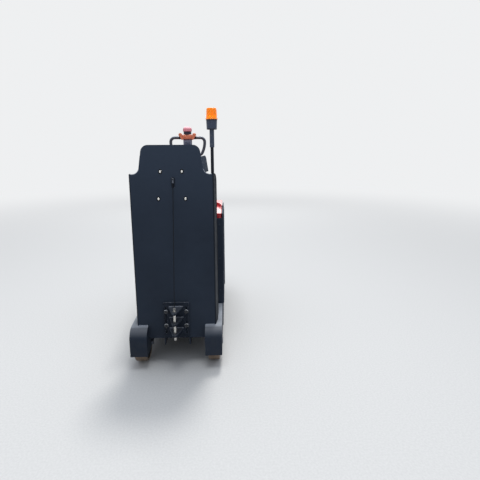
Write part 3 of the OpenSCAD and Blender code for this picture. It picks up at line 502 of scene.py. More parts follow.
def spannered(name, face, side):
    """Dark bolt face, with the paint rubbed off the flats by the spanner; the bolt lies along Y."""
    f = Finish(name, 0.4)
    flank = f.span(f.math("ABSOLUTE", f.facing("Y")), 0.75, 0.45)
    bare = f.times(flank, f.cloud(160, 5, 0.7, 0.25, 0.5, to=(0.6, 1.0)))
    return f.finished(
        f.mix(bare, f.mix(f.noise(300, 4), face, scaled(face, 1.6)), side),
        f.cloud(90, to=(0.24, 0.42)),
        f.bump(f.noise(600, 3), 0.00006, f.round_edges(0.0006)))


PANEL_BLUE = rgb(51, 60, 73)
BRIGHT_STEEL = rgb(205, 203, 198)
# the sheet's paint is painted paler high up, as painted light from above
SHEET = {"rough": (0.56, 0.68), "spec": 0.1, "dust": 0.06, "dust_top": 0.75, "dust_and_top_highlight": 0.25, "painted_light_high_up": 1.6}
FINISHES = {
    "panel": coated("panel_coat", PANEL_BLUE, **SHEET),
    # back panel: its wings past the folds are painted darker, as painted shade
    "back": coated("back_coat", PANEL_BLUE, painted_wing_shade=0.4, **SHEET),
    # frame: upward and level faces paler from dust and wear, and from a painted sky reflection
    "frame": coated("frame_coat", rgb(46, 56, 70), dust=0.16, dust_and_top_highlight=0.62, level_wear_and_sheen=0.4),
    # pale edge colour: painted highlight, on the shoulder beads and the welds at the panel's foot
    "edge": coated("pale_edge_highlight", rgb(150, 157, 170), rough=(0.3, 0.42), spec=0.5, dust=0, dust_and_top_highlight=0.5),
    "hitch": worn_steel("hitch_coat", rgb(34, 41, 52)),
    # weld colour: the grey of bare weld, made lighter partly as a painted highlight along the tongue roots
    "weld": worn_steel("weld_bead", rgb(120, 125, 134)),
    "pole": coated("pole_coat", rgb(36, 40, 49), rough=(0.38, 0.5), spec=0.16, dust=0),
    "motor": coated("motor_coat", rgb(48, 48, 52), rough=(0.4, 0.55)),
    "arm": coated("arm_coat", rgb(124, 130, 146), rough=(0.34, 0.46), dust=0, edge_light=1.4, dust_and_top_highlight=0.1),
    "steel": bare_steel("bright_steel", BRIGHT_STEEL),
    "zinc": bare_steel("zinc_plate", rgb(134, 137, 142), rough=(0.34, 0.5), pitch=500),
    "nickel": bare_steel("bright_nickel", rgb(232, 231, 227), rough=(0.12, 0.24), pitch=400, stain=0.15),
    "dull": bare_steel("dull_steel", rgb(108, 113, 124), rough=(0.4, 0.56), pitch=400, stain=0.8),
    "dark_bolt": spannered("dark_bolt", rgb(24, 27, 33), rgb(206, 207, 209)),
    "hub": coated("hub_iron", rgb(40, 41, 44), rough=(0.5, 0.65), peel=0.0005, pitch=240, dust=0.4,
                  dust_top=0.3),
    "tread": tread("tread_tan"),
    "mat": rubber("mat_rubber", rgb(34, 34, 35)),
    "boot": rubber("boot_rubber", rgb(26, 26, 27), grain=700, depth=0.0001, scuff=0.1),
    "bumper": rubber("bumper_rubber", rgb(30, 31, 33), grain=500, depth=0.0002, scuff=0.2),
    "plastic": moulded("black_plastic", rgb(34, 36, 40), spec=0.25),
    # black of trims, bezels and bolt seats, and painted shade in the slot's slit and the latch slots
    "dark": moulded("black_and_painted_shade", rgb(20, 21, 24), rough=(0.6, 0.75), spec=0.1, dust=0),
    "insert": moulded("insert_rubber", rgb(46, 54, 66), rough=(0.6, 0.72), spec=0.12, dust=0.02),
    "base": moulded("base_plastic", rgb(74, 84, 103), rough=(0.36, 0.48), grain=1400, depth=0.00004, spec=0.3,
                    dust=0.02),
    "ring": moulded("ring_plastic", rgb(50, 42, 58), rough=(0.3, 0.42), spec=0.3, dust=0),
    # pale grey-blue top: painted highlight on the loops' upper sides
    "grip": moulded("grip_sleeve", rgb(50, 56, 70), rough=(0.26, 0.38), grain=700, spec=0.55, dust_and_top_highlight=1.0,
                    top=rgb(150, 155, 166)),
    "pin": pin_steel("pin_steel", BRIGHT_STEEL),
    # pale peach top: painted highlight on the ears and head
    "orange": moulded("orange_plastic", rgb(226, 130, 92), rough=(0.3, 0.42), grain=1200, depth=0.00005,
                      spec=0.5, coat=0.2, dust_and_top_highlight=0.7, top=rgb(250, 206, 188)),
    # dark brown: painted shade on the collar under the head, and the dark seam line
    "collar": moulded("collar_shade_and_seam", rgb(132, 62, 48), rough=(0.4, 0.5), dust=0),
    # pale pink top: painted highlight on the button's dome
    "button": moulded("button_gloss", rgb(236, 152, 162), rough=(0.5, 0.6), grain=1500, depth=0.00001,
                      spec=0.45, dust=0, dust_and_top_highlight=0.7, top=rgb(248, 206, 212)),
    "red": lacquer("cover_gloss", rgb(194, 28, 38), rough=(0.22, 0.34), coat=0.4),
    "amber": amber("amber_lens"),
    "core": glowing("beacon_core", (1.0, 0.42, 0.03, 1), 0.4),
    "spark": glowing("beacon_spark", (1.0, 0.66, 0.16, 1), 6.0),
    "clear": clear("lamp_glass"),
    "led": glowing("lamp_white", (0.92, 0.95, 1.0, 1), 0.35),
    "screen": lacquer("screen_glass", rgb(14, 20, 26), rough=(0.06, 0.12), coat=0.5, edge=0.0004),
    "gauge": glowing("gauge_green", (0.1, 0.75, 0.22, 1), 0.5),
    "yellow": moulded("yellow_plastic", rgb(236, 184, 44), rough=(0.32, 0.44), spec=0.4),
    "vinyl": vinyl("pad_vinyl"),
    "cord": braided("cord_sheath"),
    "battery": moulded("battery_case", rgb(74, 77, 80), rough=(0.5, 0.65), grain=500, depth=0.0002),
}

DRESS = {
    "back": "back_panel",
    "panel": "hood_rear_wall front_hood",
    "frame": "floor_plate frame_rails front_frame wheel_boxes drive_case steering_column tiller_yoke",
    "hitch": "hitch_plate hitch_tongues",
    "pole": "beacon_pole pole_clamps cover_hinges",
    "motor": "drive_motor",
    "arm": "tiller_arm",
    "steel": "steering_bearing",
    "pin": "tow_pin",
    "dull": "rear_axles cord_clamp",
    "hub": "rear_hub_left rear_hub_right drive_hub",
    "tread": "rear_tyre_left rear_tyre_right drive_tyre",
    "mat": "platform_mat",
    "boot": "column_boot",
    "bumper": "front_bumper",
    "plastic": "headlamp control_console release_handle",
    "base": "beacon_base",
    "ring": "button_base",
    "orange": "tiller_head",
    "button": "belly_button",
    "red": "battery_cover emergency_stop",
    "battery": "battery",
}
for finish, names in DRESS.items():
    for name in names.split():
        for holder in nodes[name].material_slots:
            holder.material = FINISHES[finish]


# Shape building

BACK, AHEAD = (0, -1, 0), (0, 1, 0)
UPRIGHT = Matrix(((1, 0, 0, 0), (0, 0, 1, 0), (0, 1, 0, 0), (0, 0, 0, 1)))


def moved(x, y, z):
    return Matrix.Translation((x, y, z))


def facing(place, axis, spin=0.0):
    """Local Z points along axis at place, with local Y kept as upright as it goes."""
    turn = Vector(axis).to_track_quat("Z", "Y").to_matrix().to_4x4()
    return Matrix.Translation(Vector(place)) @ turn @ Matrix.Rotation(spin, 4, "Z")


def steps_round(n, start=0):
    """Angles of n even steps round a circle."""
    return [2 * pi * (k + start) / n for k in range(n)]


def on_round(centre, radius, angles, rise=None):
    """Points on a circle at angles in degrees or, with rise, on an ellipse of that upright radius."""
    up = radius if rise is None else rise
    turns = [radians(a) for a in angles]
    return [(centre[0] + radius * cos(t), centre[1] + up * sin(t)) for t in turns]


def arc(centre, radius, a0, a1, n=8):
    return on_round(centre, radius, [a0 + (a1 - a0) * i / n for i in range(n + 1)])


def rounded_box(w, h, r, n=6):
    """Outline of a rounded rectangle about its middle, in order round it."""
    x, y = w / 2 - r, h / 2 - r
    corners = ((x, y), (-x, y), (-x, -y), (x, -y))
    return [p for i, corner in enumerate(corners) for p in arc(corner, r, 90 * i, 90 * i + 90, n)]


def oval(w, h, n=14):
    """Upright oval about its middle, in order round it."""
    high = (h - w) / 2
    return arc((0, high), w / 2, 0, 180, n) + arc((0, -high), w / 2, 180, 360, n)


def shifted(outline, x, y):
    return [(x + a, y + b) for a, b in outline]


class Shape:
    """Gathers the vertices and faces of one piece."""

    def __init__(self):
        self.verts = []
        self.faces = []

    def rings(self, rings, place=None, closed=False):
        """Skins a list of rings with as many points each."""
        n, count = len(rings[0]), len(rings)
        base = len(self.verts)
        points = [p for ring in rings for p in ring]
        self.verts += [tuple(place @ Vector(p)) if place else tuple(p) for p in points]
        last = count if closed else count - 1
        faces = [
            (i * n + k, i * n + (k + 1) % n, (i + 1) % count * n + (k + 1) % n, (i + 1) % count * n + k)
            for i in range(last) for k in range(n)]
        if not closed:
            faces += [tuple(range(n - 1, -1, -1)), tuple((count - 1) * n + k for k in range(n))]
        self.faces += [tuple(base + i for i in face) for face in faces]
        return self

    def lathe(self, profile, place=None, n=40, closed=False):
        """Turns a profile of (radius, height) about local Z, from below upwards."""
        turns = steps_round(n)
        return self.rings([[(r * cos(t), r * sin(t), z) for t in turns] for r, z in profile], place, closed)

    def prism(self, outline, z0, z1, place=None):
        return self.rings([[(x, y, z) for x, y in outline] for z in (z0, z1)], place)

    def tube(self, path, radius, n=12, closed=False):
        """Sweeps a circle along path; radius may change from point to point."""
        path = [Vector(p) for p in path]
        last = len(path) - 1
        side = None
        rings = []
        for i, point in enumerate(path):
            before = path[i - 1] if closed or i else path[0]
            after = path[(i + 1) % len(path)] if closed or i < last else path[last]
            along = (after - before).normalized()
            if side is None:
                side = along.orthogonal().normalized()
            side = (side - along * side.dot(along)).normalized()
            other = along.cross(side)
            r = radius[i] if isinstance(radius, list) else radius
            turns = steps_round(n)
            rings.append([point + r * (cos(t) * side + sin(t) * other) for t in turns])
        return self.rings(rings, closed=closed)

    def make(self, name, finish, slot, body="chassis", sharp=32, bevel=0.0, segments=2):
        mesh = bpy.data.meshes.new(name)
        mesh.from_pydata(self.verts, [], self.faces)
        mesh.validate()
        tidy = bmesh.new()
        tidy.from_mesh(mesh)
        bmesh.ops.recalc_face_normals(tidy, faces=tidy.faces)
        tidy.to_mesh(mesh)
        tidy.free()
        mesh.shade_smooth()
        mesh.set_sharp_from_angle(angle=radians(sharp))
        mesh.materials.append(FINISHES[finish])
        piece = placed(name, mesh)
        if bevel:
            soften(piece, bevel, segments, sharp)
        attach(piece, body)
        return piece


def slab(shape, w, d, r, x, y, z0, z1, place=None):
    """Flat block with round corners about x, y."""
    shape.prism(shifted(rounded_box(w, d, r), x, y), z0, z1, place)


def soften(piece, width, segments, sharp):
    """Rounds the edges of a piece that are sharper than an angle."""
    cut = piece.modifiers.new("edges", "BEVEL")
    cut.width = width
    cut.segments = segments
    cut.limit_method = "ANGLE"
    cut.angle_limit = radians(sharp)
    cut.harden_normals = True


# Fasteners

def hex_head(shape, place, flats, height, n=36):
    """Hexagon head with its round chamfer on top."""
    inner = flats / 2
    cap = 0.985 * inner
    lip, dish = 0.72 * cap, 0.68 * cap
    dish_z = 0.94 * height
    sixth = pi / 3
    angles = steps_round(n)
    reach = [inner / cos((a + sixth / 2) % sixth - sixth / 2) for a in angles]

    def ring(radii, heights):
        return [(r * cos(a), r * sin(a), z) for r, a, z in zip(radii, angles, heights)]

    shape.rings([
        ring(reach, [0] * n),
        ring(reach, [height - 0.45 * max(r - cap, 0) for r in reach]),
        ring([min(r, cap) for r in reach], [height] * n),
        ring([lip] * n, [height] * n),
        ring([dish] * n, [dish_z] * n)], place)


def washer(shape, place, inner, outer, height, n=36):
    """Flat ring with a sloped rim."""
    rim, shoulder = 0.97 * outer, 0.6 * height
    profile = [(inner, 0), (outer, 0), (outer, shoulder), (rim, height), (inner, height)]
    shape.lathe(profile, place, n, closed=True)


def dome_screw(shape, place, radius, height):
    """Button head with a hexagon socket."""
    rim, rise = 0.25 * height, 0.75 * height
    lip, socket, floor = 0.45 * radius, 0.42 * radius, 0.45 * height
    dome = on_round((0, rim), radius, (0, 20, 40, 58), rise)
    shape.lathe([(radius, 0)] + dome + [(lip, height), (socket, floor)], place, 28)


# Radius and height of each kind of screw
SOCKET_SCREW, ARM_SCREW, HEAD_SCREW = (0.0042, 0.0028), (0.0042, 0.0022), (0.0042, 0.0024)
WALL_SCREW, CLAMP_SCREW = (0.0068, 0.0034), (0.0036, 0.0024)


def weld_bead(shape, start, end, radius):
    """Rippled bead from start to end, thin at both."""
    step, ripple_pitch, taper_l = 0.0016, 0.0048, 0.005
    start, end = Vector(start), Vector(end)
    length = (end - start).length
    steps = max(int(length / step), 8)
    path, radii = [], []
    for i in range(steps + 1):
        t = i / steps
        ripple = 0.1 * sin(2 * pi * t * length / ripple_pitch) + rng.uniform(-0.03, 0.03)
        taper = min(1, 0.35 + min(t, 1 - t) * length / taper_l)
        path.append(start.lerp(end, t) + Vector([rng.uniform(-1, 1) * 0.0002 for _ in range(3)]))
        radii.append(radius * taper * (1 + ripple))
    shape.tube(path, radii, 10)


# Round bolts on the panel, in seats

PANEL_BOLTS = ((0.069, 1.352), (0.087, 1.176))
BOLT_R, BOLT_Z, BOLT_RISE = 0.007, 0.0014, 0.0036
SEAT = [(0.0118, 0), (0.0118, 0.0008), (0.0108, 0.0014), (BOLT_R, 0.0011)]
BOLT = [(BOLT_R, 0.0008)] + on_round((0, BOLT_Z), BOLT_R, (0, 15, 30, 45, 60, 75, 86), BOLT_RISE)
SEEN_TALL = Matrix.Diagonal((1, 1.3, 1, 1))
panel_bolts, bolt_seats = Shape(), Shape()
for x, z in PANEL_BOLTS:
    for side in SIDES:
        place = facing((side * x, PANEL_Y, z), BACK) @ SEEN_TALL
        bolt_seats.lathe(SEAT, place, 32)
        panel_bolts.lathe(BOLT, place, 32)
panel_bolts.make("panel_bolts", "nickel", "bright_steel")
bolt_seats.make("panel_bolt_seats", "dark", "plastic_black")


# Hexagon bolts and welds of the hitch, welds at the panel's foot coloured pale as a painted highlight

HITCH_BOLT_X, HITCH_BOLT_ZS = 0.069, (0.298, 0.4)
HITCH_WASHER, HITCH_WASHER_T = (0.0088, 0.0158), 0.0028
HITCH_FLATS, HITCH_HEAD_T, HITCH_SPIN = 0.0245, 0.0102, 0.16
hitch_bolts, hitch_washers = Shape(), Shape()
for side in SIDES:
    for z in HITCH_BOLT_ZS:
        place = facing((side * HITCH_BOLT_X, PLATE_Y, z), BACK, rng.uniform(-HITCH_SPIN, HITCH_SPIN))
        washer(hitch_washers, place, *HITCH_WASHER, HITCH_WASHER_T)
        hex_head(hitch_bolts, place @ moved(0, 0, HITCH_WASHER_T), HITCH_FLATS, HITCH_HEAD_T)
hitch_bolts.make("hitch_bolts", "dark_bolt", "bright_steel")
hitch_washers.make("hitch_washers", "hitch", "bright_steel")

TONGUES, TONGUE_PITCH, TONGUE_T = 3, 0.078, 0.012
BEAD_REACH, BEAD_R = 0.049, 0.0042
welds = Shape()
for i in range(TONGUES):
    top = TONGUE_TOP - i * TONGUE_PITCH
    for z in (top + 0.001, top - TONGUE_T - 0.001):
        weld_bead(welds, (-BEAD_REACH, PLATE_Y - 0.001, z), (BEAD_REACH, PLATE_Y - 0.001, z), BEAD_R)
welds.make("weld_beads", "weld", "frame_paint", sharp=60)

FOOT_Y, FOOT_Z, FOOT_R = PANEL_Y - 0.0005, 0.2925, 0.0038
FOOT_FROM, FOOT_TO = 0.1985, 0.262
foot_welds = Shape()
for side in SIDES:
    weld_bead(foot_welds, (side * FOOT_FROM, FOOT_Y, FOOT_Z), (side * FOOT_TO, FOOT_Y, FOOT_Z), FOOT_R)
# the foot welds take the pale edge colour as a painted highlight along the panel's foot
foot_welds.make("foot_welds", "edge", "frame_paint", sharp=60)


# Release cord from the pin's head up to the clamp, and the ring in the pin's head

CORD_R = 0.002
CORD_POINTS = 24
EYE_R, EYE_WIDE, EYE_TALL, EYE_WIRE = 0.0085, 0.62, 0.9, 0.0012
cord_foot = Vector((0, PIN_Y, CORD_LO.z + 0.0002))
cord_head = Vector((CLAMP.x, CLAMP.y, CORD_HI.z - 0.0002))
route = [cord_foot.lerp(cord_head, i / CORD_POINTS) for i in range(CORD_POINTS + 1)]
cord = Shape().tube(route, CORD_R, 10).make("release_cord", "cord", "cord_black")
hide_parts("pull_cord")
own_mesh(cord)

eye_z = PIN_TOP - 0.005
eye = []
for t in steps_round(32):
    eye.append((EYE_R * EYE_WIDE * sin(t), PIN_Y, eye_z + EYE_R * EYE_TALL * (1 - cos(t))))
Shape().tube(eye, EYE_WIRE, 8, closed=True).make("pin_eye_ring", "nickel", "bright_steel", "hitch_pin")


# Beacon: fluted lens round a core with lights, on the pole's socket

LENS_LO, LENS_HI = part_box("beacon_lens")
BEACON_X, BEACON_Y = (LENS_LO.x + LENS_HI.x) / 2, (LENS_LO.y + LENS_HI.y) / 2
SKIRT = 0.0035
LENS_R = (LENS_HI.x - LENS_LO.x) / 2 - SKIRT
LENS_H = LENS_HI.z - LENS_LO.z
LENS_WALL, LENS_TAPER, LENS_ROUND = 0.0028, 0.003, 0.006
WALL_Z, WALL_H = 0.01, LENS_H - 0.018
CROWN_R, TIP_R = 0.012, 0.0006
FLUTES, FLUTE_DEPTH = 24, 0.0007


def at_pole(z):
    return moved(BEACON_X, BEACON_Y, z)


def lens_wall(r):
    """The lens's tapering wall, from below upwards."""
    return [(r - LENS_TAPER * i / 4, WALL_Z + WALL_H * i / 4) for i in range(5)]


def fluted(profile, low, high, n=144):
    """Rings of a turned shell whose wall carries upright flutes between two heights."""
    rings = []
    for r, z in profile:
        depth = FLUTE_DEPTH if low < z < high else 0
        turns = steps_round(n)
        reach = [r - depth * (0.5 - 0.5 * cos(FLUTES * t)) for t in turns]
        rings.append([(a * cos(t), a * sin(t), z) for a, t in zip(reach, turns)])
    return rings


bend = (LENS_R - LENS_TAPER - LENS_ROUND, LENS_H - LENS_ROUND)
outer = [(LENS_R + SKIRT, 0), (LENS_R + SKIRT, 0.004), (LENS_R + 0.003, 0.005), (LENS_R, 0.0075)]
outer += [(LENS_R - 0.0002, 0.009)] + lens_wall(LENS_R) + on_round(bend, LENS_ROUND, (20, 45, 70, 88))
outer += [(CROWN_R, LENS_H), (TIP_R, LENS_H)]
inner = [(TIP_R, LENS_H - LENS_WALL), (CROWN_R, LENS_H - LENS_WALL)] + on_round(bend, 0.0035, (80, 45, 10))
inner += list(reversed(lens_wall(LENS_R - LENS_WALL))) + [(LENS_R - LENS_WALL, 0)]
beacon = Shape().rings(fluted(outer + inner, 0.0095, LENS_H - 0.007), at_pole(LENS_LO.z), closed=True)
beacon_shell = beacon.make("beacon_shell", "amber", "amber_lens", sharp=40)
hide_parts("beacon_lens")

CORE = [(0.0318, 0.0005), (0.0318, 0.004), (0.026, 0.006), (0.0245, 0.012), (0.0235, 0.054), (0.02, 0.058),
        (0.001, 0.059)]
Shape().lathe(CORE, at_pole(LENS_LO.z), 48).make("beacon_core", "core", "amber_lens")

SPARK = [(0.0052, 0), (0.0046, 0.0014), (0.002, 0.0026), (0.0003, 0.0028)]
SPARKS, SPARK_R, SPARK_Z = 8, 0.0243, 0.017
spark = Shape()
for t in steps_round(SPARKS, 0.5):
    out = (cos(t), sin(t), 0)
    spark.lathe(SPARK, at_pole(LENS_LO.z) @ facing((SPARK_R * out[0], SPARK_R * out[1], SPARK_Z), out), 16)
spark.make("beacon_lights", "spark", "amber_lens")

BASE_LO, BASE_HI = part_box("beacon_base")
SOCKET_BACK, SOCKET_SCREWS_UP = BEACON_Y - 0.0149, (0.018, 0.074)
BASE_LIPS, LIP_OUT, LIP_IN, LIP_H = ((0.006, 0.0354), (0.061, 0.0331)), 0.0009, 0.0006, 0.002
screws = Shape()
for up in SOCKET_SCREWS_UP:
    dome_screw(screws, facing((BEACON_X, SOCKET_BACK, BASE_LO.z + up), BACK), *SOCKET_SCREW)
screws.make("socket_screws", "dull", "bright_steel")
lips = Shape()
for down, r in BASE_LIPS:
    lip = [(r - LIP_IN, -LIP_H), (r + LIP_OUT, -0.6 * LIP_H), (r + LIP_OUT, 0.6 * LIP_H), (r - LIP_IN, LIP_H)]
    lips.lathe(lip, at_pole(BASE_HI.z - down), 64, closed=True)
lips.make("base_lips", "plastic", "plastic_black")


# Rubber on the panel: insert in the cord slot, with a dark sheet in its slit as painted shade, edge trims on
# the wings, pale beads on the shoulders as painted highlight

SLOT_X, SLOT_Z = 0.01, 1.28
STEM_Z = 1.301
INSERT_W, INSERT_H, BORE_W = 0.0276, 0.0716, 0.0104
INSERT_DEPTHS = (0.001, 0.004)
SLIT_W, SLIT_H, SLIT_DOWN = 0.0085, 0.026, 0.017


def standing(outline, y):
    """An outline stood up across the machine at y."""
    return [(x, y, z) for x, z in outline]


rim = shifted(oval(INSERT_W, INSERT_H), SLOT_X, SLOT_Z)
bore = shifted(oval(BORE_W, BORE_W), SLOT_X, STEM_Z)
rings = [standing(rim, PANEL_Y + depth) for depth in INSERT_DEPTHS]
rings += [standing(bore, PANEL_Y + depth) for depth in reversed(INSERT_DEPTHS)]
Shape().rings(rings, closed=True).make("slot_insert", "insert", "rubber_black", sharp=30)
# a dark sheet on the insert as painted shade of the slit's opening
mouth = shifted(oval(SLIT_W, SLIT_H), SLOT_X, SLOT_Z - SLIT_DOWN)
slit_shade = Shape().prism(mouth, PANEL_Y + 0.0006, PANEL_Y + 0.0012, UPRIGHT)
slit_shade.make("slot_slit_shade", "dark", "rubber_black", sharp=30)

WING_MID_X, WING_MID_Y, WING_SPLAY = 0.27039, -0.6066, 8
TRIM_R, TRIM_IN = 0.0045, 0.0575
TRIM_Y, TRIM_LOW_Z, TRIM_HIGH_Z = -0.579, 0.352, 1.274
TRIM_END = (-0.592, 1.3315)


def wing_x(y):
    """Middle of a wing's sheet, across the machine, at y."""
    return WING_MID_X + (y - WING_MID_Y) * tan(radians(WING_SPLAY))


edge = arc((TRIM_Y, TRIM_LOW_Z), TRIM_IN, -72, 0, 12)
edge += arc((TRIM_Y, TRIM_HIGH_Z), TRIM_IN, 0, 88, 12) + [TRIM_END]
trims = Shape()
for side in SIDES:
    trims.tube([(side * wing_x(y), y, z) for y, z in edge], [TRIM_R] * (len(edge) - 1) + [0.8 * TRIM_R])
trims.make("wing_trims", "dark", "rubber_black", sharp=50)

SHOULDER_C, SHOULDER_R, SHOULDER_END = (0.2492, 1.379), 0.0452, (0.2585, 1.3338)
SHOULDER_Y, SHOULDER_BEAD_R = PANEL_Y + 0.0022, 0.0027
# beads on the shoulders round the edges, coloured pale as a painted highlight
highlight_beads = Shape()
shoulder = arc(SHOULDER_C, SHOULDER_R, 196, 268, 16) + [SHOULDER_END]
for side in SIDES:
    highlight_beads.tube([(side * x, SHOULDER_Y, z) for x, z in shoulder], SHOULDER_BEAD_R, 10)
highlight_beads.make("shoulder_edges", "edge", "panel_paint", sharp=50)


# Tiller: smooth hand loops, softened ears, collar of the head darkened as painted shade, seam of the head,
# plate on the arm

LOOP_HI_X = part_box("tiller_loops")[1].x
HEAD_W = HEAD_HI.x - HEAD_LO.x
ARM_W, ARM_D = 0.077, 0.05
LOOP_R = 0.0135
LOOP_LEAN = 28
LOOP_UPPER, LOOP_LOWER, LOOP_BAR = 0.038, 0.026, 0.105
LOOP_BOW = LOOP_BAR / radians(LOOP_LEAN)
LOOP_TOP = HEAD_LO.z + 0.009


def loop_path(side):
    """Out of the head, round, down a bow that leans in, and back to the arm."""
    upper = (LOOP_HI_X - LOOP_R - LOOP_UPPER, LOOP_TOP - LOOP_UPPER)
    bow = (upper[0] + LOOP_UPPER - LOOP_BOW, upper[1])
    lean = radians(LOOP_LEAN)
    reach = LOOP_BOW - LOOP_LOWER
    lower = (bow[0] + reach * cos(lean), bow[1] - reach * sin(lean))
    foot = lower[1] - LOOP_LOWER
    flat = [(HEAD_W / 2 - 0.004, LOOP_TOP), (HEAD_W / 2 + 0.012, LOOP_TOP)]
    flat += arc(upper, LOOP_UPPER, 90, 0, 14) + arc(bow, LOOP_BOW, 0, -LOOP_LEAN, 12)[1:]
    flat += arc(lower, LOOP_LOWER, -LOOP_LEAN, -90, 12)[1:]
    flat += [(ARM_W / 2 + 0.01, foot), (ARM_W / 2 - 0.002, foot)]
    return [(side * x, STEER_Y, z) for x, z in flat]


loops = Shape()
for side in SIDES:
    loops.tube(loop_path(side), LOOP_R - 0.0001, 28)
hand_loops = loops.make("hand_loops", "grip", "plastic_black", "tiller", sharp=50)
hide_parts("tiller_loops")

LOBE_R = 0.0165
EAR_IN, EAR_FOOT, EAR_NECK = HEAD_W / 2 - 0.001, HEAD_LO.z - 0.012, HEAD_HI.z - 0.014
ear = [(EAR_IN, EAR_FOOT), (HEAD_W / 2 + 0.009, EAR_FOOT)]
ear += arc((EAR_HI.x - LOBE_R, HEAD_HI.z - 0.003), LOBE_R, -30, 150, 20) + [(EAR_IN, EAR_NECK)]
ears = Shape()
for side in SIDES:
    ears.prism([(side * x, z) for x, z in ear], EAR_LO.y, EAR_HI.y, UPRIGHT)
thumb_ears = ears.make("thumb_ears", "orange", "plastic_orange", "tiller", sharp=34, bevel=0.006, segments=5)
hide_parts("throttle_ears")

FERRULE = [(0.0132, 0.0435), (0.014, 0.044), (0.0141, 0.06), (0.0141, 0.0775), (0.0136, 0.0795),
           (0.013, 0.08)]
ferrules = Shape()
for side in SIDES:
    ferrules.lathe(FERRULE, facing((0, STEER_Y, LOOP_TOP), (side, 0, 0)), 40, closed=True)
ferrules.make("loop_ferrules", "plastic", "plastic_black", "tiller")

# Width, depth and corner radius of the collar's two steps and of the seam
COLLAR, COLLAR_FOOT, SEAM = (0.0805, 0.0535, 0.0125), (0.079, 0.052, 0.0125), (0.0856, 0.0646, 0.0102)
# the collar's dark brown is painted shade under the head
collar = Shape()
slab(collar, *COLLAR, 0, STEER_Y, HEAD_LO.z - 0.0055, HEAD_LO.z - 0.0002)
slab(collar, *COLLAR_FOOT, 0, STEER_Y, HEAD_LO.z - 0.0085, HEAD_LO.z - 0.0055)
collar.make("head_collar", "collar", "plastic_orange", "tiller", bevel=0.0012)
seam = Shape()
slab(seam, *SEAM, 0, STEER_Y, HEAD_LO.z + 0.011, HEAD_LO.z + 0.0125)
seam.make("head_seam", "collar", "plastic_orange", "tiller")

PLATE_W, PLATE_TALL, PLATE_MID, PLATE_T = 0.05, 0.335, 1.375, 0.0018
ARM_SCREW_X, ARM_SCREW_Z = 0.018, PLATE_TALL / 2 - 0.012
HEAD_SCREW_X, HEAD_SCREW_Y, HEAD_SCREW_Z = 0.03, STEER_Y + 0.032, HEAD_LO.z + 0.012
ARM_BACK = STEER_Y - ARM_D / 2
arm_plate, arm_screws = Shape(), Shape()
slab(arm_plate, PLATE_W, PLATE_TALL, 0.008, 0, PLATE_MID, ARM_BACK - PLATE_T, ARM_BACK - 0.0001, UPRIGHT)
arm_plate.make("arm_plate", "base", "arm_paint", "tiller", bevel=0.0008)
for z in SIDES:
    for x in SIDES:
        place = (x * ARM_SCREW_X, ARM_BACK - PLATE_T, PLATE_MID + z * ARM_SCREW_Z)
        dome_screw(arm_screws, facing(place, BACK), *ARM_SCREW)
for side in SIDES:
    place = (side * HEAD_SCREW_X, HEAD_SCREW_Y, HEAD_SCREW_Z)
    dome_screw(arm_screws, facing(place, AHEAD), *HEAD_SCREW)
arm_screws.make("arm_screws", "dull", "bright_steel", "tiller")


# Console: screen with its gauge, key switch, rockers, collar of the emergency stop

TOP = CONSOLE_HI.z
CONSOLE_Y = (CONSOLE_LO.y + 0.026 + CONSOLE_HI.y - 0.0087) / 2
BEZEL_T, SCREEN_T, ROCKER_T, ROCKER_TILT = 0.0028, 0.0034, 0.0022, 9
SCREEN_X, ROCKER_XS, KEY_X = -0.06, (0.036, 0.06), 0.004
BAR_N, BAR_X, BAR_PITCH = 8, -0.0845, 0.007

# Width, depth and corner radius of each block on the console
BEZEL, SCREEN, BAR = (0.08, 0.042, 0.006), (0.066, 0.029, 0.002), (0.005, 0.0085, 0.0006)
ROCKER_SEAT, ROCKER = (0.0215, 0.033, 0.003), (0.0165, 0.0265, 0.002)
KEY_BLADE, KEY_BOW = (0.0022, 0.0088, 0.0008), (0.021, 0.016, 0.007)
bezel, screen, gauge, rockers = Shape(), Shape(), Shape(), Shape()
slab(bezel, *BEZEL, SCREEN_X, CONSOLE_Y, TOP, TOP + BEZEL_T)
slab(screen, *SCREEN, SCREEN_X, CONSOLE_Y, TOP + BEZEL_T - 0.0002, TOP + SCREEN_T)
for i in range(BAR_N):
    bar_x = BAR_X + i * BAR_PITCH
    slab(gauge, *BAR, bar_x, CONSOLE_Y - 0.004, TOP + SCREEN_T, TOP + SCREEN_T + 0.0003)
for x in ROCKER_XS:
    slab(bezel, *ROCKER_SEAT, x, CONSOLE_Y, TOP, TOP + ROCKER_T)
    rocker_place = moved(x, CONSOLE_Y, TOP + ROCKER_T) @ Matrix.Rotation(radians(ROCKER_TILT), 4, "X")
    slab(rockers, *ROCKER, 0, 0, -0.0015, 0.0042, rocker_place)
bezel.make("console_bezels", "dark", "plastic_black", bevel=0.0007)
screen.make("console_screen", "screen", "plastic_black", bevel=0.0003)
gauge.make("console_gauge", "gauge", "plastic_black")
rockers.make("console_rockers", "plastic", "plastic_black", bevel=0.001)

KEY_TURN = 0.5
BARREL = [(0.0125, 0), (0.0125, 0.0016), (0.011, 0.003), (0.0082, 0.0034), (0.0078, 0.0026), (0.0005, 0.0026)]
key_place = moved(KEY_X, CONSOLE_Y, TOP)
key = Shape().lathe(BARREL, key_place, 40)
slab(key, *KEY_BLADE, 0, 0, 0.002, 0.01, key_place @ Matrix.Rotation(KEY_TURN, 4, "Z"))
key.make("key_switch", "nickel", "bright_steel", bevel=0.0004)
bow_place = key_place @ Matrix.Rotation(KEY_TURN + pi / 2, 4, "Z") @ UPRIGHT
bow = Shape()
slab(bow, *KEY_BOW, 0, 0.0175, -0.0013, 0.0013, bow_place)
bow.make("key_bow", "plastic", "plastic_black", bevel=0.0006)

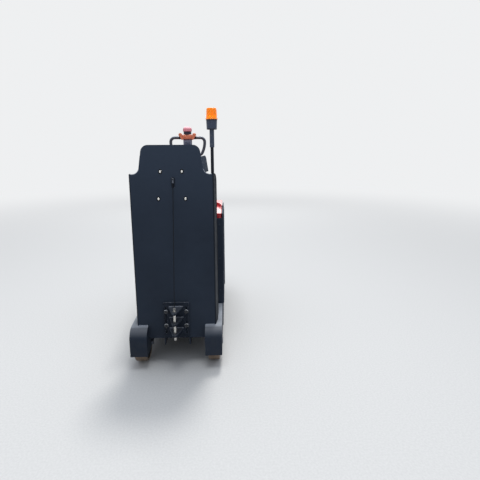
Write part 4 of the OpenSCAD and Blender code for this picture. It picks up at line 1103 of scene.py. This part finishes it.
STOP = middle("emergency_stop")
STOP_COLLAR = [(0.0104, 0.0002), (0.0235, 0.0002), (0.0235, 0.0014), (0.0222, 0.0026), (0.0112, 0.003),
               (0.0104, 0.0026)]
stop_collar = Shape().lathe(STOP_COLLAR, moved(STOP.x, STOP.y, TOP), 48, closed=True)
stop_collar.make("stop_collar", "yellow", "plastic_orange")


# Headlamp: reflector, lights and domed glass in the cup

LAMP = middle("headlamp")
LAMP_AXIS = facing((LAMP.x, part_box("headlamp")[1].y, LAMP.z), AHEAD)
REFLECTOR = [(0.0388, -0.0198), (0.039, -0.0112), (0.038, -0.0114), (0.033, -0.015), (0.024, -0.0178),
             (0.012, -0.019), (0.0006, -0.0192), (0.0006, -0.0198)]
GLASS = [(0.0006, -0.0052), (0.014, -0.0054), (0.027, -0.0062), (0.036, -0.0074), (0.0388, -0.0086),
         (0.039, -0.0106), (0.036, -0.0096), (0.027, -0.0084), (0.014, -0.0076), (0.0006, -0.0074)]
LED = [(0.0062, 0), (0.0062, 0.0012), (0.005, 0.003), (0.0026, 0.0044), (0.0004, 0.0048)]
LEDS, LED_RING, RING_Z, MID_Z = 6, 0.02, -0.0184, -0.0192
Shape().lathe(REFLECTOR, LAMP_AXIS, 64, closed=True).make("lamp_reflector", "nickel", "bright_steel")
leds = Shape()
for t in steps_round(LEDS):
    leds.lathe(LED, LAMP_AXIS @ moved(LED_RING * cos(t), LED_RING * sin(t), RING_Z), 20)
leds.lathe(LED, LAMP_AXIS @ moved(0, 0, MID_Z), 20)
leds.make("lamp_lights", "led", "lamp_glass")
glass = Shape().lathe(GLASS, LAMP_AXIS, 72, closed=True)
lamp_dome = glass.make("lamp_dome", "clear", "lamp_glass", sharp=50)
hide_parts("headlamp_lens")


# Side covers with a pressed field and quarter-turn latches

SIDE_LO, SIDE_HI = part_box("side_covers")
SIDE_W, SIDE_H = SIDE_HI.y - SIDE_LO.y, SIDE_HI.z - SIDE_LO.z
SIDE_Y, SIDE_Z = (SIDE_LO.y + SIDE_HI.y) / 2, (SIDE_LO.z + SIDE_HI.z) / 2
RECESS = 0.0048
SIDE_STEPS = (
    (0.008, 0, 0.003), (0.0065, 0, 0.003), (0.0028, 0.0012, 0.004), (0.0007, 0.0034, 0.006),
    (0, 0.007, 0.008), (0, 0.05, 0.03), (0.001, 0.0506, 0.03), (RECESS - 0.0008, 0.055, 0.026),
    (RECESS, 0.0572, 0.025))
LATCH_IN, LATCH_TURN, LATCH_SLOT = 0.085, 0.4, (0.015, 0.0034, 0.0016)
LATCH = [(0.016, 0), (0.016, 0.001), (0.0148, 0.0017), (0.01, 0.0018), (0.0092, 0.001), (0.0005, 0.001)]
skins, latches, latch_slot_shades = Shape(), Shape(), Shape()
for side in SIDES:
    rings = []
    for depth, inset, r in SIDE_STEPS:
        outline = shifted(rounded_box(SIDE_W - 2 * inset, SIDE_H - 2 * inset, r), SIDE_Y, SIDE_Z)
        rings.append([(side * (SIDE_HI.x - depth), y, z) for y, z in outline])
    skins.rings(rings)
    for y in SIDES:
        for z in SIDES:
            corner = (SIDE_Y + y * (SIDE_W / 2 - LATCH_IN), SIDE_Z + z * (SIDE_H / 2 - LATCH_IN))
            place = facing((side * (SIDE_HI.x - RECESS), *corner), (side, 0, 0), LATCH_TURN * y)
            latches.lathe(LATCH, place, 40)
            # a dark bar on the latch face as painted shade of its slot
            slab(latch_slot_shades, *LATCH_SLOT, 0, 0, 0.0009, 0.0015, place)
side_skins = skins.make("side_skins", "panel", "panel_paint", sharp=60)
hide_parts("side_covers")
latches.make("side_latches", "zinc", "bright_steel")
latch_slot_shades.make("latch_slot_shades", "dark", "plastic_black")


# Louvres in the hood's vents, and the gasket between hood and bumper

HOOD_LO, HOOD_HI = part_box("front_hood")
BUMPER_LO, BUMPER_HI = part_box("front_bumper")
VENT_N, VENT_L, VENT_PITCH = 6, 0.13, 0.024
VENT_Y, VENT_Z = HOOD_LO.y + 0.06, HOOD_LO.z + 0.108
BLADE = [(0.3175, 0.0056), (0.3175, 0.0066), (0.3236, 0.0022), (0.3247, 0.0004), (0.3228, 0.0004)]
BLADE_ENDS = (VENT_Y + 0.0004, VENT_Y + VENT_L - 0.0004)
louvres = Shape()
for side in SIDES:
    for i in range(VENT_N):
        z = VENT_Z + i * VENT_PITCH
        louvres.rings([[(side * x, y, z + up) for x, up in BLADE] for y in BLADE_ENDS])
louvres.make("vent_louvres", "panel", "panel_paint", sharp=25)

NOSE_R = HOOD_HI.y - BUMPER_LO.y
GASKET_IN, GASKET_T = 0.0095, 0.01


def nose_line(inset):
    """The hood's outline in plan, drawn in by inset, from its right side round its front to its left."""
    half = [(HOOD_HI.x - inset, BUMPER_LO.y - 0.004)]
    half += arc((HOOD_HI.x - NOSE_R, BUMPER_LO.y), NOSE_R - inset, 0, 90, 24)
    return half + [(-x, y) for x, y in reversed(half)]


strip = nose_line(GASKET_IN) + list(reversed(nose_line(GASKET_IN + GASKET_T)))
gasket = Shape().prism(strip, BUMPER_HI.z - 0.001, HOOD_LO.z + 0.001)
gasket.make("hood_gasket", "boot", "rubber_black", sharp=40)


# Pull of the battery cover, screws and nuts

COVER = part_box("battery_cover")[0]
# Width, height and corner radius, and how far up and out of the cover it stands
PULL_PARTS = (
    ((0.092, 0.024, 0.008), 0.019, 0.004, 0.0002),
    ((0.074, 0.009, 0.004), 0.0155, 0.014, 0.0036))
pull = Shape()
for size, up, far, near in PULL_PARTS:
    slab(pull, *size, 0, COVER.z + up, COVER.y - far, COVER.y - near, UPRIGHT)
pull.make("cover_pull", "plastic", "plastic_black", "battery_lid", bevel=0.0016, segments=3)

WALL_LO, WALL_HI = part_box("hood_rear_wall")
CLAMPS_LO, CLAMPS_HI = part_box("pole_clamps")
CLAMP_IN, CLAMP_SCREW_Y = 0.012, 0.0118
WALL_SCREW_IN, WALL_SCREW_ZS = 0.022, (0.4, 0.66, 0.92)
wall_screws, clamp_screws = Shape(), Shape()
for side in SIDES:
    for z in WALL_SCREW_ZS:
        dome_screw(wall_screws, facing((side * (WALL_HI.x - WALL_SCREW_IN), WALL_LO.y, z), BACK), *WALL_SCREW)
wall_screws.make("wall_screws", "panel", "panel_paint")
for z in (CLAMPS_LO.z + CLAMP_IN, CLAMPS_HI.z - CLAMP_IN):
    for side in SIDES:
        place = facing((CLAMPS_LO.x, BEACON_Y + side * CLAMP_SCREW_Y, z), (-1, 0, 0))
        dome_screw(clamp_screws, place, *CLAMP_SCREW)
clamp_screws.make("clamp_screws", "dull", "bright_steel")

YOKE_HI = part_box("tiller_yoke")[1]
PIVOT_Z = YOKE_HI.z - 0.028
NUT_WASHER, NUT_WASHER_T = (0.007, 0.013), 0.002
NUT_FLATS, NUT_T, NUT_TURN = 0.019, 0.0075, 0.3
nuts = Shape()
for side in SIDES:
    place = facing((side * YOKE_HI.x, STEER_Y, PIVOT_Z), (side, 0, 0), NUT_TURN * side)
    washer(nuts, place, *NUT_WASHER, NUT_WASHER_T)
    hex_head(nuts, place @ moved(0, 0, NUT_WASHER_T), NUT_FLATS, NUT_T)
nuts.make("pivot_nuts", "zinc", "bright_steel", "steering_unit")


# Battery top: cells with their caps and links

BATTERY_LO, BATTERY_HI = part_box("battery")
CELLS_X, CELLS_Y = 8, 3
RIM = 0.008
PITCH_X = (BATTERY_HI.x - BATTERY_LO.x - 2 * RIM) / CELLS_X
PITCH_Y = (BATTERY_HI.y - BATTERY_LO.y - 2 * RIM) / CELLS_Y
CELL_GAP, CELL_H = 0.005, 0.01
CAP = [(0.013, 0), (0.013, 0.005), (0.0115, 0.008), (0.01, 0.0088), (0.005, 0.0088), (0.0045, 0.0076),
       (0.0005, 0.0076)]
LINK_W, LINK_FORWARD, LINK_TOP = 0.017, 0.028, 0.015
cells, caps, links = Shape(), Shape(), Shape()
for i in range(CELLS_X):
    for k in range(CELLS_Y):
        x = BATTERY_LO.x + RIM + (i + 0.5) * PITCH_X
        y = BATTERY_LO.y + RIM + (k + 0.5) * PITCH_Y
        top = BATTERY_HI.z
        slab(cells, PITCH_X - CELL_GAP, PITCH_Y - CELL_GAP, 0.004, x, y, top, top + CELL_H)
        caps.lathe(CAP, moved(x, y, top + CELL_H - 0.0001), 28)
        if i < CELLS_X - 1 and k != 1:
            between = (x + PITCH_X / 2, y + LINK_FORWARD)
            slab(links, 0.72 * PITCH_X, LINK_W, 0.007, *between, top + CELL_H - 0.0002, top + LINK_TOP)
cells.make("battery_cells", "battery", "battery_case", bevel=0.0015)
caps.make("battery_caps", "yellow", "battery_case")
links.make("battery_links", "dull", "bright_steel", bevel=0.001)


# Ribs of the release handle, and soft edges on solids

RIB_N, RIB_PITCH = 9, 0.0062
RIB = [(0.0078, -0.0014), (0.0088, -0.0007), (0.0088, 0.0007), (0.0078, 0.0014)]
GRIP_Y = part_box("release_handle")[1].y - 0.008
ribs = Shape()
for i in range(RIB_N):
    rib_x = SLOT_X + (i - (RIB_N - 1) / 2) * RIB_PITCH
    ribs.lathe(RIB, facing((rib_x, GRIP_Y, STEM_Z), (1, 0, 0)), 32, closed=True)
ribs.make("handle_ribs", "boot", "plastic_black")

SOFT_EDGES = {"front_bumper": (0.006, 3), "control_console": (0.004, 3), "battery_cover": (0.0022, 2)}
for node, (width, segments) in SOFT_EDGES.items():
    soften(nodes[node], width, segments, 50)


# Backrest pad

PAD_LO, PAD_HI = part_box("backrest_pad")
PAD_X, PAD_Z = (PAD_LO.x + PAD_HI.x) / 2, (PAD_LO.z + PAD_HI.z) / 2
PAD_W, PAD_H, PAD_R = PAD_HI.x - PAD_LO.x, PAD_HI.z - PAD_LO.z, 0.04
HAND_W, HAND_H = 0.084, 0.13
VINYL_SWELL, SWELL_MOST = 0.006, 0.008
VOXEL, PAD_BACK_T = 0.0055, 0.004


def pad_block(inset):
    """The pad before it is filled: its outline drawn in, the hand opening let out."""
    outline = shifted(rounded_box(PAD_W - 2 * inset, PAD_H - 2 * inset, PAD_R - inset, 8), PAD_X, PAD_Z)
    hole = shifted(oval(HAND_W + 2 * inset, HAND_H + 2 * inset, 16), SLOT_X, SLOT_Z)
    block = bmesh.new()
    edges = []
    for loop in (outline, hole):
        ring = [block.verts.new((x, PAD_LO.y + 0.001, z)) for x, z in loop]
        ring = [v for i, v in enumerate(ring) if (v.co - ring[i - 1].co).length > 1e-6]
        edges += [block.edges.new((ring[i - 1], ring[i])) for i in range(len(ring))]
    bmesh.ops.delete(block, geom=[v for v in block.verts if not v.link_edges], context="VERTS")
    filled = bmesh.ops.triangle_fill(block, use_beauty=True, use_dissolve=False, edges=edges)["geom"]
    faces = [g for g in filled if isinstance(g, bmesh.types.BMFace)]
    grown = bmesh.ops.extrude_face_region(block, geom=faces)
    moving = [g for g in grown["geom"] if isinstance(g, bmesh.types.BMVert)]
    bmesh.ops.translate(block, verts=moving, vec=(0, PAD_HI.y - PAD_LO.y - 0.001 - inset, 0))
    bmesh.ops.recalc_face_normals(block, faces=block.faces)
    mesh = bpy.data.meshes.new("backrest_cushion")
    block.to_mesh(mesh)
    block.free()
    return placed("backrest_cushion", mesh)


def frozen(piece):
    """Applies every modifier of a piece."""
    graph = bpy.context.evaluated_depsgraph_get()
    graph.update()
    baked = bpy.data.meshes.new_from_object(piece.evaluated_get(graph))
    piece.modifiers.clear()
    piece.data = baked


def puff(piece, cap, frames=20):
    """Fills a closed mesh by cloth pressure, with its back held flat."""
    rest = [v.co.copy() for v in piece.data.vertices]
    held = piece.vertex_groups.new(name="held")
    held.add([i for i, v in enumerate(rest) if v.y < PAD_LO.y + PAD_BACK_T], 1.0, "REPLACE")
    cloth = piece.modifiers.new("cloth", "CLOTH")
    s = cloth.settings
    s.quality = 6
    s.mass = 0.3
    s.tension_stiffness = s.compression_stiffness = 18
    s.shear_stiffness = 8
    s.bending_stiffness = 1.5
    s.use_pressure = True
    s.uniform_pressure_force = 4
    s.vertex_group_mass = "held"
    s.effector_weights.gravity = 0
    cloth.point_cache.frame_start, cloth.point_cache.frame_end = 1, frames
    for number in range(1, frames + 1):
        scene.frame_set(number)
    frozen(piece)
    for v, before in zip(piece.data.vertices, rest):
        step = v.co - before
        if step.length > cap:
            v.co = before + step * (cap / step.length)
    scene.frame_set(1)


cushion = pad_block(VINYL_SWELL)
mesher = cushion.modifiers.new("mesher", "REMESH")
mesher.mode = "VOXEL"
mesher.voxel_size = VOXEL
frozen(cushion)
puff(cushion, SWELL_MOST)

CHANNELS = (SLOT_Z - 0.105, SLOT_Z + 0.092)
CHANNEL_W, CHANNEL_DEEP = 0.0042, 0.0055
CHANNEL_FROM, CHANNEL_FADE = 0.35, 0.4
for v in cushion.data.vertices:
    depth = (v.co.y - PAD_LO.y) / (PAD_HI.y - PAD_LO.y)
    if depth > CHANNEL_FROM:
        groove = sum(exp(-((v.co.z - z) / CHANNEL_W) ** 2) for z in CHANNELS)
        v.co.y -= CHANNEL_DEEP * groove * min((depth - CHANNEL_FROM) / CHANNEL_FADE, 1)
    v.co.y = min(max(v.co.y, PAD_LO.y + 0.0005), PAD_HI.y - 0.0005)
smooth = cushion.modifiers.new("smooth", "SUBSURF")
smooth.levels = smooth.render_levels = 1
cushion.data.shade_smooth()
cushion.data.materials.clear()
cushion.data.materials.append(FINISHES["vinyl"])
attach(cushion, "chassis")
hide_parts("backrest_pad")
